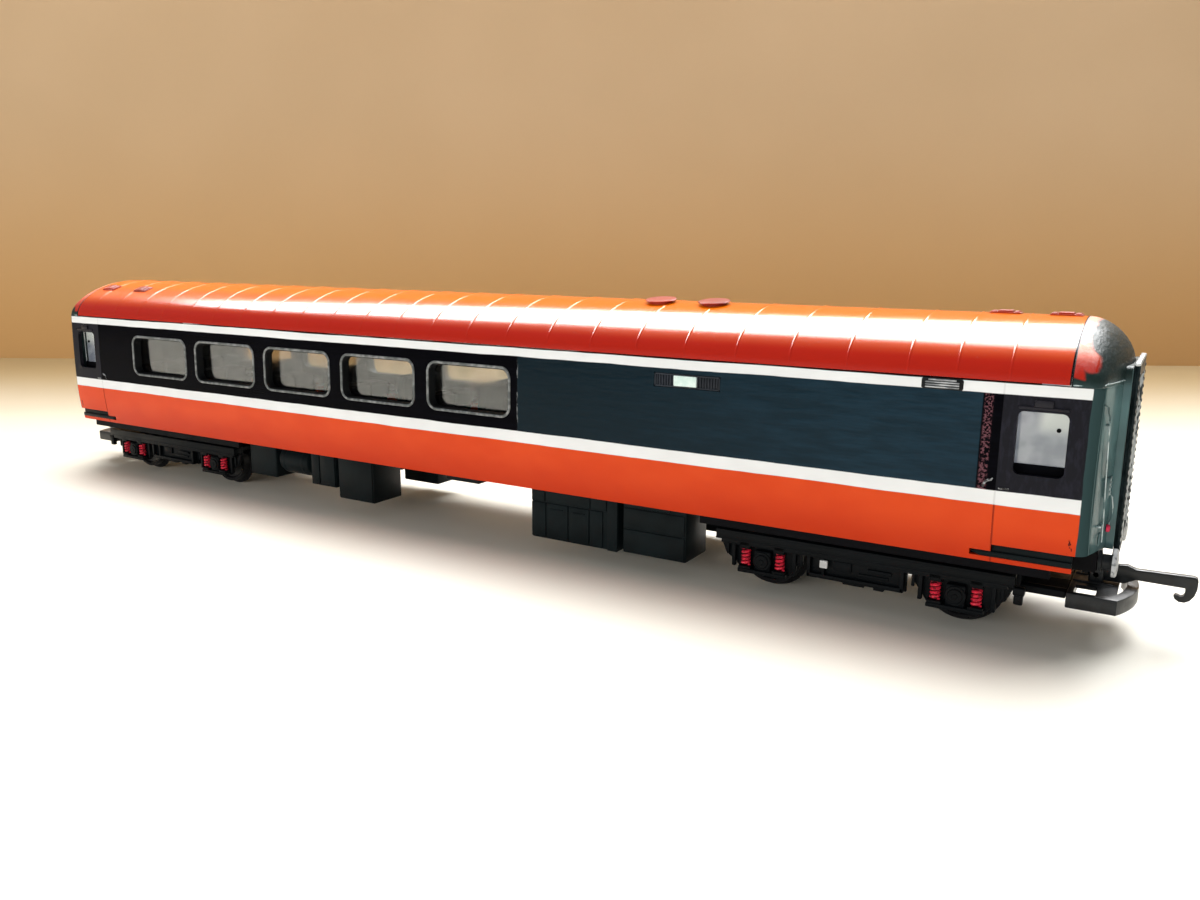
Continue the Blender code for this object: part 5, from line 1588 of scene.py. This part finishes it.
def one_sided(finish):
    """Lets a view from behind the wall, or from under the table, see through it."""
    tree = finish.material.node_tree
    output = next(node for node in tree.nodes if node.type == "OUTPUT_MATERIAL")
    side = tree.nodes.new("ShaderNodeNewGeometry").outputs["Backfacing"]
    clear = tree.nodes.new("ShaderNodeBsdfTransparent").outputs["BSDF"]
    mix = tree.nodes.new("ShaderNodeMixShader")
    for socket, source in zip(mix.inputs, (side, finish.shader.outputs["BSDF"], clear)):
        tree.links.new(source, socket)
    tree.links.new(mix.outputs["Shader"], output.inputs["Surface"])


def sheet(name, corners):
    """One flat face, seen from the side where its corners run anticlockwise."""
    mesh = bpy.data.meshes.new(name)
    mesh.from_pydata(corners, [], [range(len(corners))])
    return bpy.data.objects.new(name, mesh)


def build_set():
    """A pale table top, a plain warm wall behind it, and soft light from above and one side."""
    table = Finish("table_white", 0.55)
    tone = table.mottle(60 * MM, detail=3.0, seed=1.4)
    shade = table.mix(table.step(tone, 0.3, 0.7), (0.88, 0.85, 0.74), (0.92, 0.89, 0.79))
    # Painted shade: the table turns darker and tan towards the wall, standing for the shade near
    # the wall's foot.
    far = table.step(table.axis("Y"), 0.20, 0.50)
    table.colour(table.mix(far, shade, (0.40, 0.29, 0.14)))
    front, far_edge, side = -1.2, WALL_DISTANCE, 1.6
    corners = [(-side, front, 0), (side, front, 0), (side, far_edge, 0), (-side, far_edge, 0)]
    top = sheet("table_top", corners)
    wall = Finish("wall_warm", 0.8)
    tone = wall.mottle(110 * MM, detail=2.0, seed=6.0)
    shade = wall.mix(wall.step(tone, 0.3, 0.7), (0.59, 0.41, 0.24), (0.62, 0.435, 0.26))
    # Painted shade: the wall is darker and browner at its foot.
    base = wall.step(wall.axis("Z"), 0.0, 0.15, 1.0, 0.0)
    wall.colour(wall.mix(base, shade, (0.62, 0.36, 0.14)))
    ends = (-side, 0), (side, 0), (side, WALL_HEIGHT), (-side, WALL_HEIGHT)
    board = sheet("wall", [(x, far_edge, z) for x, z in ends])
    for obj, finish in ((top, table), (board, wall)):
        obj.matrix_world = (
            Matrix.Translation((CAMERA_AT[0], CAMERA_AT[1], 0))
            @ Matrix.Rotation(-math.radians(CAMERA_YAW), 4, "Z")
        )
        one_sided(finish)
        obj.data.materials.append(finish.material)
        bpy.context.scene.collection.objects.link(obj)
        obj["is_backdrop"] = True

    world = bpy.data.worlds.new("studio")
    world.use_nodes = True
    back = world.node_tree.nodes["Background"]
    back.inputs["Color"].default_value = (0.95, 0.97, 1.0, 1.0)
    back.inputs["Strength"].default_value = 0.22
    bpy.context.scene.world = world
    area_light("sky_fill", (-0.12, 0.33, 0.9), (1.3, 0.65), 18.5, (-0.02, 0, 0), glossy=False)
    area_light("front_fill", (-0.1, -0.75, 0.16), (1.3, 0.3), 4.0, (-0.02, 0, 0.03), glossy=False)
    area_light("window_glint", (-0.35, 0.72, 0.78), (1.6, 1.2), 125, turn=0.18, diffuse=False)


def build_camera():
    data = bpy.data.cameras.new("camera")
    data.sensor_width = 36.0
    data.lens = CAMERA_LENS
    data.clip_start = 0.005
    camera = bpy.data.objects.new("camera", data)
    yaw, pitch, roll = (math.radians(a) for a in (CAMERA_YAW, CAMERA_PITCH, CAMERA_ROLL))
    ahead = math.cos(pitch)
    forward = Vector((math.sin(yaw) * ahead, math.cos(yaw) * ahead, math.sin(pitch)))
    level = Vector((math.cos(yaw), -math.sin(yaw), 0))
    plumb = level.cross(forward)
    right = level * math.cos(roll) + plumb * math.sin(roll)
    up = plumb * math.cos(roll) - level * math.sin(roll)
    turn = Matrix((right, up, -forward)).transposed()
    camera.matrix_world = Matrix.Translation(CAMERA_AT) @ turn.to_4x4()
    bpy.context.scene.collection.objects.link(camera)
    bpy.context.scene.camera = camera


UNDER_BLACK = moulded("underframe_black", (0.004, 0.007, 0.008), 0.38, specular=0.09).material
build_body()
build_roof()
build_windows()
build_door_fittings()
build_grille()
build_louvres()
build_steps(UNDER_BLACK)
build_interior()
build_vestibules()
build_underframe()
build_equipment(UNDER_BLACK)
build_gangways()
build_end_details()
build_buffers()
build_bogies()
build_set()
build_camera()
bpy.context.scene.view_settings.view_transform = "Standard"

VISUAL_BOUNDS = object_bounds()
corners = [[list(corner) for corner in box] for box in (CAD_BOUNDS, VISUAL_BOUNDS)]
